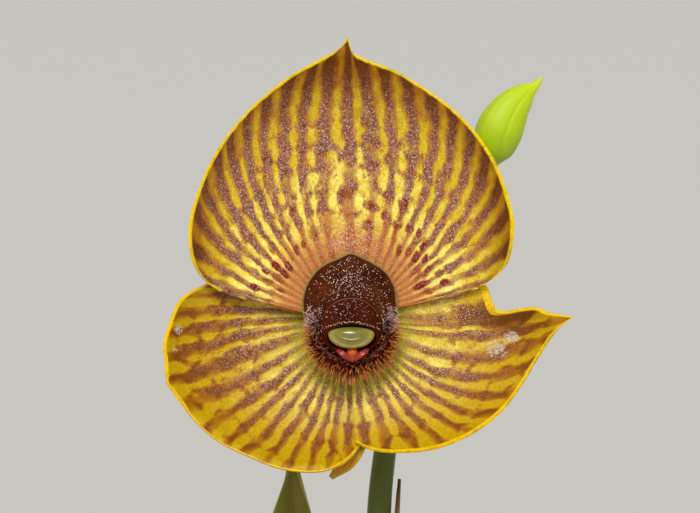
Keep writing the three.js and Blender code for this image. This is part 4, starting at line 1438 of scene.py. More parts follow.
    @staticmethod
    def head(seed: int) -> bpy.types.Mesh:
        """Makes one star-shaped moss head, one unit in radius.

        Its outer branches droop, and its young ones stand close together in the middle.

        Args:
            seed: Sets how unevenly its branches lie.

        Returns:
            The template.
        """
        rng = random.Random(seed)
        bm = new_mesh()
        leaf = (0.08, 0.17, 0.0)
        for count, reach, middle, end in ((5, 1.0, 0.1, -0.4), (3, 0.55, 0.5, 0.5)):
            for i in range(count):
                angle = math.tau * (i + 0.3 * rng.random()) / count + reach
                out = Vector((math.cos(angle), math.sin(angle), 0)) * reach * rng.uniform(0.8, 1.1)
                path = Curve([Vector((0, 0, -0.1)), out * 0.55 + UP * middle, out + UP * end])
                stemmed(bm, 3, 2, path, lambda t, _: leaf[round(t * 2)])
        return template_of("moss head", bm)


# Greenery


@dataclass(frozen=True)
class LeafForm:
    """One leaf: the path of its midrib, the side its channel faces, its half width and its fold."""

    node: str
    path: Sequence[Triple]
    up: Triple
    half: float
    fold: float


LEAVES = (
    LeafForm(
        "leaf_1", ((-1, 4.6, 61), (-4.6, 3.4, 74), (-8, 2.6, 102), (-7.6, 0, 132.5)), (0.3, -1, 0), 6.8, 0.5
    ),
    LeafForm(
        "leaf_2", ((1.6, 5.6, 61), (9, 5.6, 78), (21, 6.6, 97), (38, 7.4, 105)), (-0.7, -0.3, 0.7), 6.2, 0.4
    ),
    LeafForm(
        "leaf_3", ((-1.2, 7, 63), (-9.5, 10.6, 78), (-20, 14.6, 95), (-34, 18, 100)),
        (0.6, -0.3, 0.7), 5.8, 0.4,
    ),
    LeafForm(
        "leaf_4", ((1.6, 4.6, 58.5), (11, 0.2, 69.5), (26, -3.6, 77), (43, -6, 74)), (-0.3, 0, 1), 5.6, 0.36
    ),
    LeafForm(
        "leaf_5", ((-1, 4.6, 57.8), (-11, -1.4, 68), (-25, -8.6, 76), (-40, -14, 71)), (0.3, 0, 1), 5.4, 0.36
    ),
    LeafForm("leaf_6", ((0.5, 7.2, 67), (3, 14.6, 79), (8, 25, 88), (14, 37, 89)), (0, -0.6, 0.8), 5.2, 0.4),
    LeafForm(
        "side_leaf_1", ((-24.8, 12.2, 59.5), (-30, 10, 71), (-36, 8, 79), (-44, 5, 80)),
        (0.4, 0, 1), 4.2, 0.4,
    ),
    LeafForm(
        "side_leaf_2", ((-24.2, 13.4, 61.5), (-26.4, 20, 74), (-29, 27, 83), (-32, 36, 85)),
        (0, -0.5, 1), 4.2, 0.4,
    ),
)


@dataclass
class Plant:
    """The vegetative parts: leafy shoots, leaves and roots."""

    shoot_radii: Sequence[float] = (2.5, 2.7, 2.6, 2.2, 1.2)
    leaf_thickness: float = 0.7
    leaf_cells: tuple[int, int] = (28, 72)
    leaf_outline: Sequence[float] = (0.24, 0.42, 0.72, 0.93, 1, 0.95, 0.78, 0.46, 0.02)
    # Height of the roots' middle lines over the moss, and of the tips that dive into it
    root_rise: float = 0.35
    root_dive: float = -3.4
    root_lines: Sequence[Sequence[Pair]] = (
        ((-1.6, 1.6), (-7, -6), (-14, -15), (-23, -22), (-33, -27)),
        ((3.8, 2.6), (11, -5.6), (14, -17), (12, -28), (15, -36)),
        ((3.6, 8.6), (13, 14.5), (23, 17), (33, 24), (37, 33)),
    )
    blade: Finish = Blade("leathery leaf")
    upright_blade: Finish = Blade("young leaf", "#77720c", "#5c5e0a", "#96902a", "#5e380c")
    sheath: Finish = Herb("leaf sheath", "#7d7a3c", "#6f8430", "#7f9a35")
    velamen: Finish = Velamen("root velamen")

    def build(self) -> None:
        """Builds the shoots, the leaves and the roots."""
        self.shoot("shoot_main", [(0.5, 5.6, 44), (0.3, 5.8, 55), (0, 6, 69)], 1.15)
        self.shoot("shoot_side", [(-23, 12, 46), (-23.6, 12.4, 54), (-24.2, 12.6, 64)], 0.85)
        for form in LEAVES:
            self.leaf(form)
        for i, curve in enumerate(self.root_curves()):
            self.root(i, curve)

    def root(self, index: int, curve: Curve) -> None:
        """Builds one slightly knobbly root.

        Args:
            index: Its number, from 0.
            curve: Its middle line.
        """

        def radius(t: float, turn: float) -> float:
            """Gives the radius, less towards the tip.

            Args:
                t: Share of the way.
                turn: Turn round the ring.

            Returns:
                The radius.
            """
            knobs = noise.noise(Vector((t * 30, math.cos(turn * ROLL), index * 9.0)))
            return (1.15 - 0.25 * t) * (1 + 0.06 * knobs)

        bm = new_mesh()
        stemmed(bm, 14, 44, curve, radius)
        node = f"root_{index + 1}"
        finish_piece(f"{node}_velamen", bm, self.velamen, Slot.ROOT, node)

    def root_curves(self) -> list[Curve]:
        """Gives each root's middle line over the moss.

        Returns:
            The curves.
        """
        curves = []
        for line in self.root_lines:
            rises = [self.root_rise] * (len(line) - 1) + [self.root_dive]
            curves.append(Curve([(x, y, moss_height(x, y) + rise) for (x, y), rise in zip(line, rises)]))
        return curves

    def shoot(self, node: str, path: Sequence[Triple], girth: float) -> None:
        """Builds a stout stem wrapped in overlapping leaf sheaths.

        Args:
            node: The CAD node it stands for.
            path: Its middle line.
            girth: How stout it is.
        """

        def radius(t: float, turn: float) -> float:
            """Steps in where each sheath ends, on a slant.

            Args:
                t: Share of the way.
                turn: Turn round the ring.

            Returns:
                The radius.
            """
            slant = (t * 4.2 + 0.35 * math.cos(math.tau * turn)) % 1.0
            sheath = 1 + 0.07 * slant - 0.05 * smooth(0.9, 1.0, slant)
            body = through(self.shoot_radii, t) * (1 + 0.12 * math.cos(2 * math.tau * turn))
            return girth * body * sheath * (0.98 + 0.02 * math.cos(14 * math.tau * turn))

        bm = new_mesh()
        stemmed(bm, 40, 60, Curve(path), radius)
        finish_piece(f"{node}_sheaths", bm, self.sheath, Slot.LEAF, node, crease=60)

    def leaf(self, form: LeafForm) -> None:
        """Builds one folded leaf.

        Args:
            form: Its path and sizes.
        """
        curve = Curve(form.path)
        up = Vector(form.up)

        def surface(s: float, v: float) -> tuple[Vector, Marks]:
            """Gives a point of the leaf.

            Args:
                s: Share across, from 0 to 1.
                v: Share along.

            Returns:
                The point and its marks.
            """
            tangent = curve.tangent(v)
            across = tangent.cross(up).normalized()
            face = across.cross(tangent).normalized()
            side = 2 * s - 1
            width = form.half * max(through(self.leaf_outline, v), 0.03)
            angle = form.fold * (1.25 - 0.55 * v)
            reach = abs(side) * width
            ripple = 0.35 * side * side * math.sin(17 * v + 3 * side + len(form.node)) * smooth(0, 0.3, v)
            groove = 0.3 * math.exp(-((side * width / 0.7) ** 2)) * smooth(1.0, 0.85, v)
            lift = reach * math.sin(angle) + ripple - groove
            point = curve.along(v) + across * math.copysign(reach, side) * math.cos(angle) + face * lift
            return point, {"side": side, "along": v}

        bm = new_mesh("side")
        sheeted(bm, self.leaf_cells, surface, self.leaf_thickness, up)
        finish = self.upright_blade if form.node == "leaf_1" else self.blade
        finish_piece(f"{form.node}_blade", bm, finish, Slot.LEAF, form.node, crease=60)


# Flower stalk


@dataclass(frozen=True)
class StalkForm:
    """One stalk: its middle line, radii, corners, steps and how far its end closes, 1 being a point."""

    node: str
    path: Sequence[Triple]
    radii: Sequence[float]
    corners: float
    steps: int
    closing: float = 0.0


PEDUNCLE = StalkForm(
    "peduncle",
    ((2.9, -1.5, 46), (3.0, -1.2, 70), (3.1, -0.6, 100), (3.6, 0, 125.6),
     (4.5, 0.3, 134), (5.6, 0.6, 143), (7.4, 0.9, 151), (9.4, 0.6, 158.5)),
    (1.75, 1.65, 1.6, 1.55, 1.5, 1.5, 1.25, 0.95), 0.05, 150, 0.8,
)
OVARY = StalkForm(
    "ovary",
    ((0, -11.85, 150), (0.1, -10.8, 150), (0.9, -7.6, 149.1), (2.6, -3.9, 146),
     (4.2, -1.2, 143), (5.1, -0.1, 142)),
    (2.35, 2.2, 2.0, 1.65, 1.3, 1.15, 1.05), 0.14, 44,
)
BUD_STALK = StalkForm(
    "bud_stalk",
    ((8.8, 0.6, 156.2), (9.4, 0.2, 158.1), (10.6, -1, 160.6), (13.6, -5, 164.6),
     (16.2, -8.8, 167.6), (17.3, -10.2, 169.1)),
    (0.6, 0.82, 0.76, 0.75, 0.8, 1.0), 0.03, 34,
)


@dataclass(frozen=True)
class BractForm:
    """One bract: its foot, its point, the side of the stem it is on and how far it wraps the stem."""

    node: str
    foot: Triple
    tip: Triple
    facing: Triple
    grip: float


BRACTS = (
    BractForm("bract_1", (5.5, -0.3, 114), (6.25, 0.1, 129), (1, 0, 0), 1.7),
    BractForm("bract_2", (0.7, -1.0, 84), (-0.1, -0.8, 98), (-1, 0, 0), 1.7),
    BractForm("bract_3", (3.9, 2.55, 135.5), (3.6, 4.6, 147), (-0.3, 1, 0), 1.6),
)


@dataclass
class Stalks:
    """The peduncle with its bracts, the ovary, and the bud on its stalk."""

    bud_path: Sequence[Triple] = (
        (17.35, -10.2, 169.25), (17.8, -10.5, 171.1), (18.5, -10.8, 173.5), (20.1, -11, 176.3),
        (21.9, -11, 178.2), (23.4, -11, 179.4), (24.05, -11, 180.3),
    )
    bud_radii: Sequence[float] = (0.95, 2.25, 2.8, 2.9, 2.65, 2.2, 1.6, 0.7, 0.22)
    bract_half: float = 2.1
    bract_thickness: float = 0.45
    # The stem's dark olive is partly its own colour and partly painted shade
    stem: Finish = Herb("flower stem", "#3c480e", "#424c0e", "#5a6416", "#8f9a48")
    ovary: Finish = Herb("ovary", "#828c22", "#6f7a1c", "#5c6618", "#c3cb78")
    bud: Finish = Herb("bud skin", "#86a402", "#a6bf06", "#b4c60c", "#d3de5c", 0.5)
    bract: Finish = Herb("bract", "#6d6a1a", "#7a641c", "#5c3c0a", "#b09a58")

    def build(self) -> None:
        """Builds every stalk, the bud and the bracts."""
        for form, finish in ((PEDUNCLE, self.stem), (OVARY, self.ovary), (BUD_STALK, self.stem)):
            self.stalk(form, finish)
        self.build_bud()
        for form in BRACTS:
            self.clasp(form)

    @staticmethod
    def stalk(form: StalkForm, finish: Finish) -> None:
        """Builds one softly three-cornered stalk with fine ridges.

        Args:
            form: Its path and sizes.
            finish: What it is made of.
        """

        def radius(t: float, turn: float) -> float:
            """Gives the ridged radius.

            Args:
                t: Share of the way.
                turn: Turn round the ring.

            Returns:
                The radius.
            """
            angle = turn * math.tau
            ridges = 1 + form.corners * math.cos(3 * angle) + 0.02 * math.cos(12 * angle)
            ridges *= 1 - form.closing * smooth(0.985, 1.0, t)
            return through(form.radii, t) * ridges * (1 + 0.03 * noise.noise(Vector((t * 14, 0, 3.0))))

        bm = new_mesh()
        stemmed(bm, 36, form.steps, Curve(form.path), radius)
        finish_piece(f"{form.node}_skin", bm, finish, Slot.STEM, form.node, crease=60)

    def build_bud(self) -> None:
        """Builds the bud: three sepals closed edge to edge, with a keel on each."""

        def radius(t: float, turn: float) -> float:
            """Gives the radius with a seam between the sepals and a keel along each.

            Args:
                t: Share of the way.
                turn: Turn round the ring.

            Returns:
                The radius.
            """
            angle = turn * math.tau + 0.5 * t
            seam = abs(((3 * angle / math.tau) % 1.0) - 0.5) * 2
            groove = -0.07 * smooth(0.10, 0.0, seam) * smooth(0, 0.15, t)
            keel = 0.05 * smooth(0.86, 1.0, seam)
            return through(self.bud_radii, t) * (1 + 0.04 * math.cos(3 * angle) + groove + keel)

        bm = new_mesh()
        stemmed(bm, 72, 60, Curve(self.bud_path), radius)
        finish_piece("bud_sepals", bm, self.bud, Slot.BUD, "bud", crease=70)

    def clasp(self, form: BractForm) -> None:
        """Builds one small folded bract that clasps the stem.

        Args:
            form: Its place and sizes.
        """
        start, facing = Vector(form.foot), Vector(form.facing)
        along = Vector(form.tip) - start
        across = along.cross(facing).normalized()
        out = across.cross(along).normalized()

        def surface(s: float, v: float) -> tuple[Vector, Marks]:
            """Gives a point of the bract.

            Args:
                s: Share across, from 0 to 1.
                v: Share along.

            Returns:
                The point and its marks.
            """
            wrap = (2 * s - 1) * (1.15 - 0.75 * v)
            width = max(0.08, self.bract_half * (1 - v**2.2))
            lift = form.grip * (math.cos(wrap) - 1) * (1 - 0.4 * v)
            lift += 0.12 * math.cos(8 * math.pi * s) * (1 - v)
            return start + along * v + across * width * math.sin(wrap) + out * lift, {"along": v}

        bm = new_mesh()
        sheeted(bm, (20, 36), surface, self.bract_thickness, facing)
        finish_piece(f"{form.node}_blade", bm, self.bract, Slot.BRACT, form.node, crease=60)


# Flower


# The flower's margin, in millimetres from its middle at even turns from the right, anticlockwise
RIM_RADIUS = (
    25, 22, 25.5, 29.5, 32.2, 32.2, 30.3, 26.5, 22.3, 23, 23.8, 21.8, 20.2, 18.5, 17.8, 18.8, 21, 24,
)


def in_flower(x: float, z: float, depth: float) -> Vector:
    """Gives the part's point for a place in the flower's plane and a depth towards the viewer."""
    return FLOWER + Vector((x, -depth, z))


def bowl(x: float, z: float, cap: float = 1.5) -> float:
    """Gives the depth of the shared bowl at a place in the flower's plane.

    Args:
        x: Place across.
        z: Place up.
        cap: The most that the reach may be of the rim's radius.

    Returns:
        The depth towards the viewer.
    """
    q = min(reach_of(x, z), cap)
    inner = min(q, 1.0)
    return 3.0 * inner**2 + 3.5 * inner**8 + 8 * max(0.0, q - 1)


def reach_of(x: float, z: float) -> float:
    """Gives how far out a place is, as a share of the rim's radius in that direction."""
    return math.hypot(x, z) / around(RIM_RADIUS, math.atan2(z, x) / math.tau)


# The veins start this far from the flower's middle
BASE_RADIUS = 3.0


@dataclass
class HalfBlade:
    """Half a petal, from its axis to its edge.

    The margin runs from the tip to the edge's corner. Veins leave the flower's middle between the two
    angles, crowded by spread. Share says how far along the margin each ends, bow how far it swings
    towards outward on the way, and stripes which brown stripe it is.
    """

    margin: Sequence[Pair]
    angles: Pair
    spread: float
    share: Sequence[float]
    bow: Sequence[float]
    outward: Pair
    stripes: Sequence[float]

    def __post_init__(self) -> None:
        """Measures the margin."""
        self.curve = Curve([(x, 0, z) for x, z in self.margin], centripetal=False)

    def point(self, u: float, v: float) -> Pair:
        """Gives a place in the flower's plane.

        Args:
            u: From 0 at the axis to 1 at the edge.
            v: From 0 at the base to 1 at the margin.

        Returns:
            Its x and z.
        """
        first, last = self.angles
        angle = math.radians(first + (last - first) * u**self.spread)
        base = Vector((math.cos(angle), math.sin(angle))) * BASE_RADIUS
        end = self.curve.along(through(self.share, u)).xz
        bend = (base + end) / 2 + Vector(self.outward) * through(self.bow, u)
        place = base * (1 - v) ** 2 + bend * 2 * v * (1 - v) + end * v * v
        return place.x, place.y


LIP_STRIPES = (0, 0.48, 1.28, 2.4, 3.57, 4.97, 6.44, 7.85, 9.25, 10.6, 12)
LIP = (
    HalfBlade(
        ((-0.4, 34.8), (-1.0, 33.7), (-2.6, 32.5), (-8, 29.5), (-13.3, 25), (-17.2, 19.5),
         (-19.5, 13.5), (-19.9, 9.5), (-19.2, 6.3), (-17.6, 4.2), (-16.1, 3.5)),
        (90, 180), 0.75, (0, 0.13, 0.38, 0.67, 1), (0, 4.8, 6.2, 6.5, 1.5), (-1, 0), LIP_STRIPES,
    ),
    HalfBlade(
        ((-0.4, 34.8), (0.1, 33.1), (1.2, 32.1), (6.4, 30), (12.9, 25.5), (17.3, 20),
         (19.6, 13.8), (19.9, 10.3), (19.3, 7), (18.1, 5.4), (16.8, 4.3), (15.1, 3.7)),
        (90, 12), 0.75, (0, 0.13, 0.38, 0.67, 1), (0, 4.8, 6.2, 6.5, 1), (1, 0), LIP_STRIPES,
    ),
)
LEFT_PETAL = (
    HalfBlade(
        ((-22.8, -7.9), (-22.9, -5.4), (-23.1, -3.2), (-22.5, -0.9), (-21.5, 1.7), (-20.2, 3.1),
         (-17.9, 4.3), (-15.5, 5.8)),
        (196, 165), 1, (0, 0.25, 0.5, 0.75, 1), (0.5, 1, 1.5, 1.5, 1), (-0.2, 1), (0, 1.4, 3, 4.5, 6),
    ),
    HalfBlade(
        ((-22.8, -7.9), (-21.1, -10.2), (-19.2, -12.8), (-16.4, -15.2), (-12.8, -17), (-9.3, -18.4),
         (-6.2, -18.95), (-3.6, -18.9), (-1.8, -18.3), (-0.2, -17.3), (1, -15.9), (1.9, -13.5)),
        (196, 274), 1, (0, 0.25, 0.5, 0.75, 1), (0.5, 1.5, 2, 2.2, 0.5), (0.25, -1),
        (0, 1.3, 3, 4.8, 6.8, 8.9, 11),
    ),
)
RIGHT_PETAL = (
    HalfBlade(
        ((27.4, 0.25), (25.7, 0.5), (24.2, 0.7), (22.9, 1.3), (21.2, 1.15), (19.4, 0.8),
         (18.2, 0.9), (17.5, 2.1), (16.9, 3.9), (15.6, 5.4)),
        (-8, 14), 1, (0, 0.25, 0.5, 0.75, 1), (-4, -3.2, -2.4, -1.2, 0), (0, 1),
        (0, 0.7, 1.5, 2.3, 3),
    ),
    HalfBlade(
        ((27.4, 0.25), (25.2, -1.6), (23.2, -4.6), (20.9, -8.4), (18.4, -11.5), (15.2, -13.9),
         (11.5, -15.6), (8.2, -16.3), (4.6, -16.45), (2.2, -16.1), (0.6, -15.4)),
        (-8, -92), 1, (0, 0.17, 0.45, 0.74, 1), (4, 7.5, 5.5, 2.2, -0.6), (0.15, -1),
        (0, 1.0, 2.3, 3.9, 5.7, 7.6, 9.5),
    ),
)


@dataclass
class Petals:
    """The lip, the two petals and the three sepals behind them."""

    step: float = 1.3
    thickness: float = 0.45
    curl: tuple[Pair, Pair] = ((16.2, 4.4), (18.2, 0.8))
    curl_plain: float = 0.65
    sepal_widths: Sequence[float] = (1.4, 2, 2.5, 2.6, 2.2, 1.4, 0.12)
    lip_brown: Sequence[float] = (0.34, 0.34, 0.3, 0.2, 0.14, 0.2, 0.34, 0.44, 0.48, 0.62, 0.9)
    petal_brown: Sequence[float] = (0.0, 0.05, 0.12, 0.22, 0.32, 0.38, 0.41, 0.41, 0.38, 0.33, 0.0)
    # How thickly the painted glints lie, from the middle to the margin
    lip_painted_glints: Sequence[float] = (0.7, 0.7, 0.65, 0.6, 0.6, 0.9, 1.0, 1.0, 0.85, 0.35, 0.0)
    petal_painted_glints: Sequence[float] = (0.1, 0.1, 0.3, 0.8, 1.0, 0.95, 0.75, 0.5, 0.3, 0.15, 0.0)
    lip_tissue: Finish = Perianth("lip tissue")
    petal_tissue: Finish = Perianth(
        "petal tissue", ground="#c4a406", ground_pale="#dcca50", ground_deep="#b08c04", stripe="#70441e",
        stripe_outer="#744006", flush="#8a6c08", flush_pale="#a09210", rim="#e0b404", border="#943c08",
        net_width=0.22,
    )
    sepal_tissue: Finish = Perianth(
        "sepal tissue", ground="#8f8a14", ground_pale="#a8a43a", ground_deep="#6f7010", stripe="#7a5a1c",
        stripe_outer="#6a4a12", spot="#7a3a12", flush="#c8881a", flush_pale="#c8881a", rim="#b0941c",
        rim_width=0.15,
    )

    def build(self) -> None:
        """Builds the six blades."""
        self.blade("lip", LIP, 1, (150, 80), self.lip_marks, self.lip_tissue)
        self.blade("petal_left", LEFT_PETAL, -1, (110, 64), self.left_marks, self.petal_tissue)
        self.blade("petal_right", RIGHT_PETAL, 0, (120, 72), self.right_marks, self.petal_tissue)
        self.sepal("sepal_lower", ((0, -3), (-0.2, -9), (0, -14.5), (-0.7, -17.7), (-2.5, -19.9)), 1.0)
        self.sepal("sepal_left", ((-2.1, 2.1), (-6.5, 7), (-11, 10.5), (-15, 12.5)), 0.0)
        self.sepal("sepal_right", ((2.1, 2.1), (6.5, 7), (11, 10.5), (15, 12.5)), 0.0)

    def blade(
        self, node: str, halves: Sequence[HalfBlade], layer: int, cells: tuple[int, int], coloured: Callable,
        tissue: Finish,
    ) -> None:
        """Builds one striped blade.

        Args:
            node: The CAD node it stands for.
            halves: Its two halves.
            layer: 1 in front, 0 between, -1 behind.
            cells: Grid cells across and along.
            coloured: Gives the marks at a place.
            tissue: Its finish.
        """
        stations = 161
        rim = kdtree.KDTree(2 * stations)
        for h, half in enumerate(halves):
            for i in range(stations):
                rim.insert(half.curve.along(i / (stations - 1)), h * stations + i)
        rim.balance()
        folded = node == "petal_right"

        def surface(s: float, v: float) -> tuple[Vector, Marks]:
            """Gives a point of the blade.

            Args:
                s: Share across, from 0 to 1.
                v: Share along.

            Returns:
                The point and its marks.
            """
            half, sign = (halves[0], -1) if s < 0.5 else (halves[1], 1)
            u = abs(2 * s - 1)
            x, z = half.point(u, v)
            q = min(reach_of(x, z), 1.0)
            vein = sign * through(half.stripes, u)
            rib = 0.06 * math.cos(math.tau * vein) * smooth(0.15, 0.4, q) * smooth(1.0, 0.9, v)
            away = rim.find(Vector((x, 0, z)))[2]
            if folded:
                away = max(away - self.curl_plain * self.on_curl(x, z), 0.0)
            fold = self.fold(x, z) if folded else 0.0
            marks = {"vein": vein, "distance": math.hypot(x, z), "rim": away}
            return in_flower(x, z, bowl(x, z) + layer * self.step + fold + rib), marks | coloured(x, z, q, u)

        bm = new_mesh(*MARKS)
        sheeted(bm, cells, surface, self.thickness, FORWARD)
        finish_piece(f"{node}_blade", bm, tissue, Slot.PETAL, node, crease=60)

    @staticmethod
    def fold(x: float, z: float) -> float:
        """Raises the right petal's upper edge in front of a hollow.

        Args:
            x: Place across.
            z: Place up.

        Returns:
            The extra depth there.
        """
        hollow = -1.1 * math.exp(-(((x - 19.5) / 3) ** 2) - ((z + 2) / 1.8) ** 2)
        ridge = 1.6 * math.exp(-(((x - 20.5) / 4) ** 2) - ((z - 1.6) / 1.2) ** 2)
        return hollow + ridge

    def lip_marks(self, x: float, z: float, q: float, u: float) -> Marks:
        """Works out how the lip is coloured at a place.

        Args:
            x: Place across.
            z: Place up.
            q: Reach as a share of the rim's radius.
            u: From the axis to the edge.

        Returns:
            The marks there.
        """
        from_callus = math.hypot(x, z - 2)
        sideways = smooth(0.45, 0.9, u)
        crown = math.exp(-((x / 3.0) ** 2) - ((z - 9.6) / 2.0) ** 2)
        less = sideways * (0.05 + 0.1 * smooth(12, 8, z))
        return {
            "share": through(self.lip_brown, q) + 0.1 * smooth(-10, -16, x) - less,
            "inner": 0.8 * smooth(0.5, 0.36, q),
            "warmth": smooth(12.5, 6.0, from_callus),
            "spots": (0.75 + 0.25 * smooth(0.3, 0.55, u)) * smooth(2.0, 4.0, z),
            "spot_at": 11.4 - 3.0 * smooth(0.25, 0.7, u),
            # Painted glints, thickest on the crown above the callus
            "frost": through(self.lip_painted_glints, q) * (1 - 0.35 * sideways) + 2.6 * crown,
            "links": (1.15 - 0.35 * sideways) * smooth(0.34, 0.42, q) * smooth(0.85, 0.65, q),
            "pale": 0.7 * smooth(0.75, 0.5, q) + 0.6 * sideways * smooth(0.95, 0.6, q) - 0.15,
            # Darker colours towards the margin, partly painted shade
            "smooth": smooth(0.74, 0.94, q),
        }

    def petal_marks(self, x: float, z: float, q: float) -> Marks:
        """Works out how a side petal is coloured at a place.

        Args:
            x: Place across.
            z: Place up.
            q: Reach as a share of the rim's radius.

        Returns:
            The marks there.
        """
        middle = math.hypot(x, z + 2)
        return {
            "share": through(self.petal_brown, q) + 0.05 - 0.13 * smooth(-7, -12, z),
            "inner": 0.0,
            "warmth": 0.75 * smooth(8.5, 6.5, middle),
            # How thickly the painted glints lie
            "frost": through(self.petal_painted_glints, q),
            "links": 0.8 * smooth(0.4, 0.6, q),
            "pale": 0.7 * smooth(0.75, 0.5, q) + 0.5 * smooth(-6, -12, z) * smooth(1.0, 0.7, q) - 0.15,
            # Darker colours towards the margin, partly painted shade
            "smooth": 0.8 * smooth(0.5, 0.9, q),
        }

    def left_marks(self, x: float, z: float, q: float, u: float) -> Marks:
        """Adds the left petal's plain upper corner, its shade under the lip and two scars.

        Args:
            x: Place across.
            z: Place up.
            q: Reach as a share of the rim's radius.
            u: From the axis to the edge; not used.

        Returns:
            The marks there.
        """
        marks = self.petal_marks(x, z, q)
        corner = smooth(1.9, 0.8, math.hypot((x + 19.5) / 1.6, z - 2.6))
        shade = smooth(1.5, 4.5, z) * smooth(-17.5, -14, x)
        marks["share"] += 0.3 * shade - 0.6 * corner
        marks["links"] *= 1 - corner
        # More painted glints under the lip
        marks["frost"] = max(marks["frost"], 0.9 * shade)
        upper = smooth(1.0, 0.2, math.hypot(x + 21.6, (z + 1.4) / 1.3))
        lower = smooth(0.8, 0.1, math.hypot(x + 22.0, z + 3.9))
        marks["scar"] = 0.55 * max(upper, lower)
        return marks

    def on_curl(self, x: float, z: float) -> float:
        """Tells how near a place is to the curled margin in the right petal's notch.

        Args:
            x: Place across.
            z: Place up.

        Returns:
            1 on it, and 0 away from it.
        """
        (x0, z0), (x1, z1) = self.curl
        length = math.hypot(x1 - x0, z1 - z0)
        along = ((x - x0) * (x1 - x0) + (z - z0) * (z1 - z0)) / length
        aside = abs((x - x0) * (z1 - z0) - (z - z0) * (x1 - x0)) / length
        return smooth(-0.3, 0.6, along) * smooth(length + 0.6, length - 0.4, along) * smooth(1.5, 0.9, aside)

    def right_marks(self, x: float, z: float, q: float, u: float) -> Marks:
        """Adds the right petal's hollow, darkened with painted shade, its golden horn, its shade under the
        lip and its scars.

        Args:
            x: Place across.
            z: Place up.
            q: Reach as a share of the rim's radius.
            u: From the axis to the edge; not used.

        Returns:
            The marks there.
        """
        marks = self.petal_marks(x, z, q)
        # Painted shade in the hollow below the notch: browner, darker and with fewer glints
        hollow = math.exp(-(((x - 18.9) / 3.1) ** 2) - ((z + 0.1 + 0.12 * (x - 18.9)) / 1.4) ** 2)
        shade = smooth(-0.5, 2.0, z) * smooth(16.5, 13.5, x) * smooth(2.5, 5.0, x)
        marks["share"] += 0.9 * hollow + 0.12 * shade - 0.5 * smooth(22.5, 25, x) - 0.06
        marks["smooth"] = max(marks["smooth"], 0.9 * hollow)
        marks["frost"] = marks["frost"] * (1 - 0.7 * hollow) + 0.9 * shade
        upper = smooth(1.5, 0.4, math.hypot((x - 20.1) / 1.3, z + 2.4))
        lower = smooth(2.0, 0.6, math.hypot((x - 18.2) / 1.3, z + 3.9))
        marks["scar"] = max(0.58 * upper, 0.5 * lower)
        return marks

    def sepal(self, node: str, path: Sequence[Pair], gold: float) -> None:
        """Builds one narrow sepal behind the petals.

        Args:
            node: The CAD node it stands for.
            path: Its middle line in the flower's plane.
            gold: How golden its tip is.
        """
        curve = Curve([(x, 0, z) for x, z in path], centripetal=False)

        def surface(s: float, v: float) -> tuple[Vector, Marks]:
            """Gives a point of the sepal.

            Args:
                s: Share across, from 0 to 1.
                v: Share along.

            Returns:
                The point and its marks.
            """
            tangent, width = curve.tangent(v), through(self.sepal_widths, v)
            side = 2 * s - 1
            place = curve.along(v) + Vector((tangent.z, 0, -tangent.x)) * side * width
            depth = bowl(place.x, place.z, 0.9) - 2 * self.step + 0.5 * side * side * (1 - v)
            rib = 0.05 * math.cos(5 * math.pi * side)
            marks = {
                # Sepals carry few painted glints
                "vein": side * 2.5, "distance": v * 18, "share": 0.28 * (1 - v), "frost": 0.15, "pale": 0.2,
                "warmth": gold * smooth(0.6, 1, v), "rim": (1 - abs(side)) * width,
            }
            return in_flower(place.x, place.z, depth + rib), marks

        bm = new_mesh(*MARKS)
        sheeted(bm, (20, 60), surface, self.thickness, FORWARD)
        finish_piece(f"{node}_blade", bm, self.sepal_tissue, Slot.SEPAL, node, crease=60)


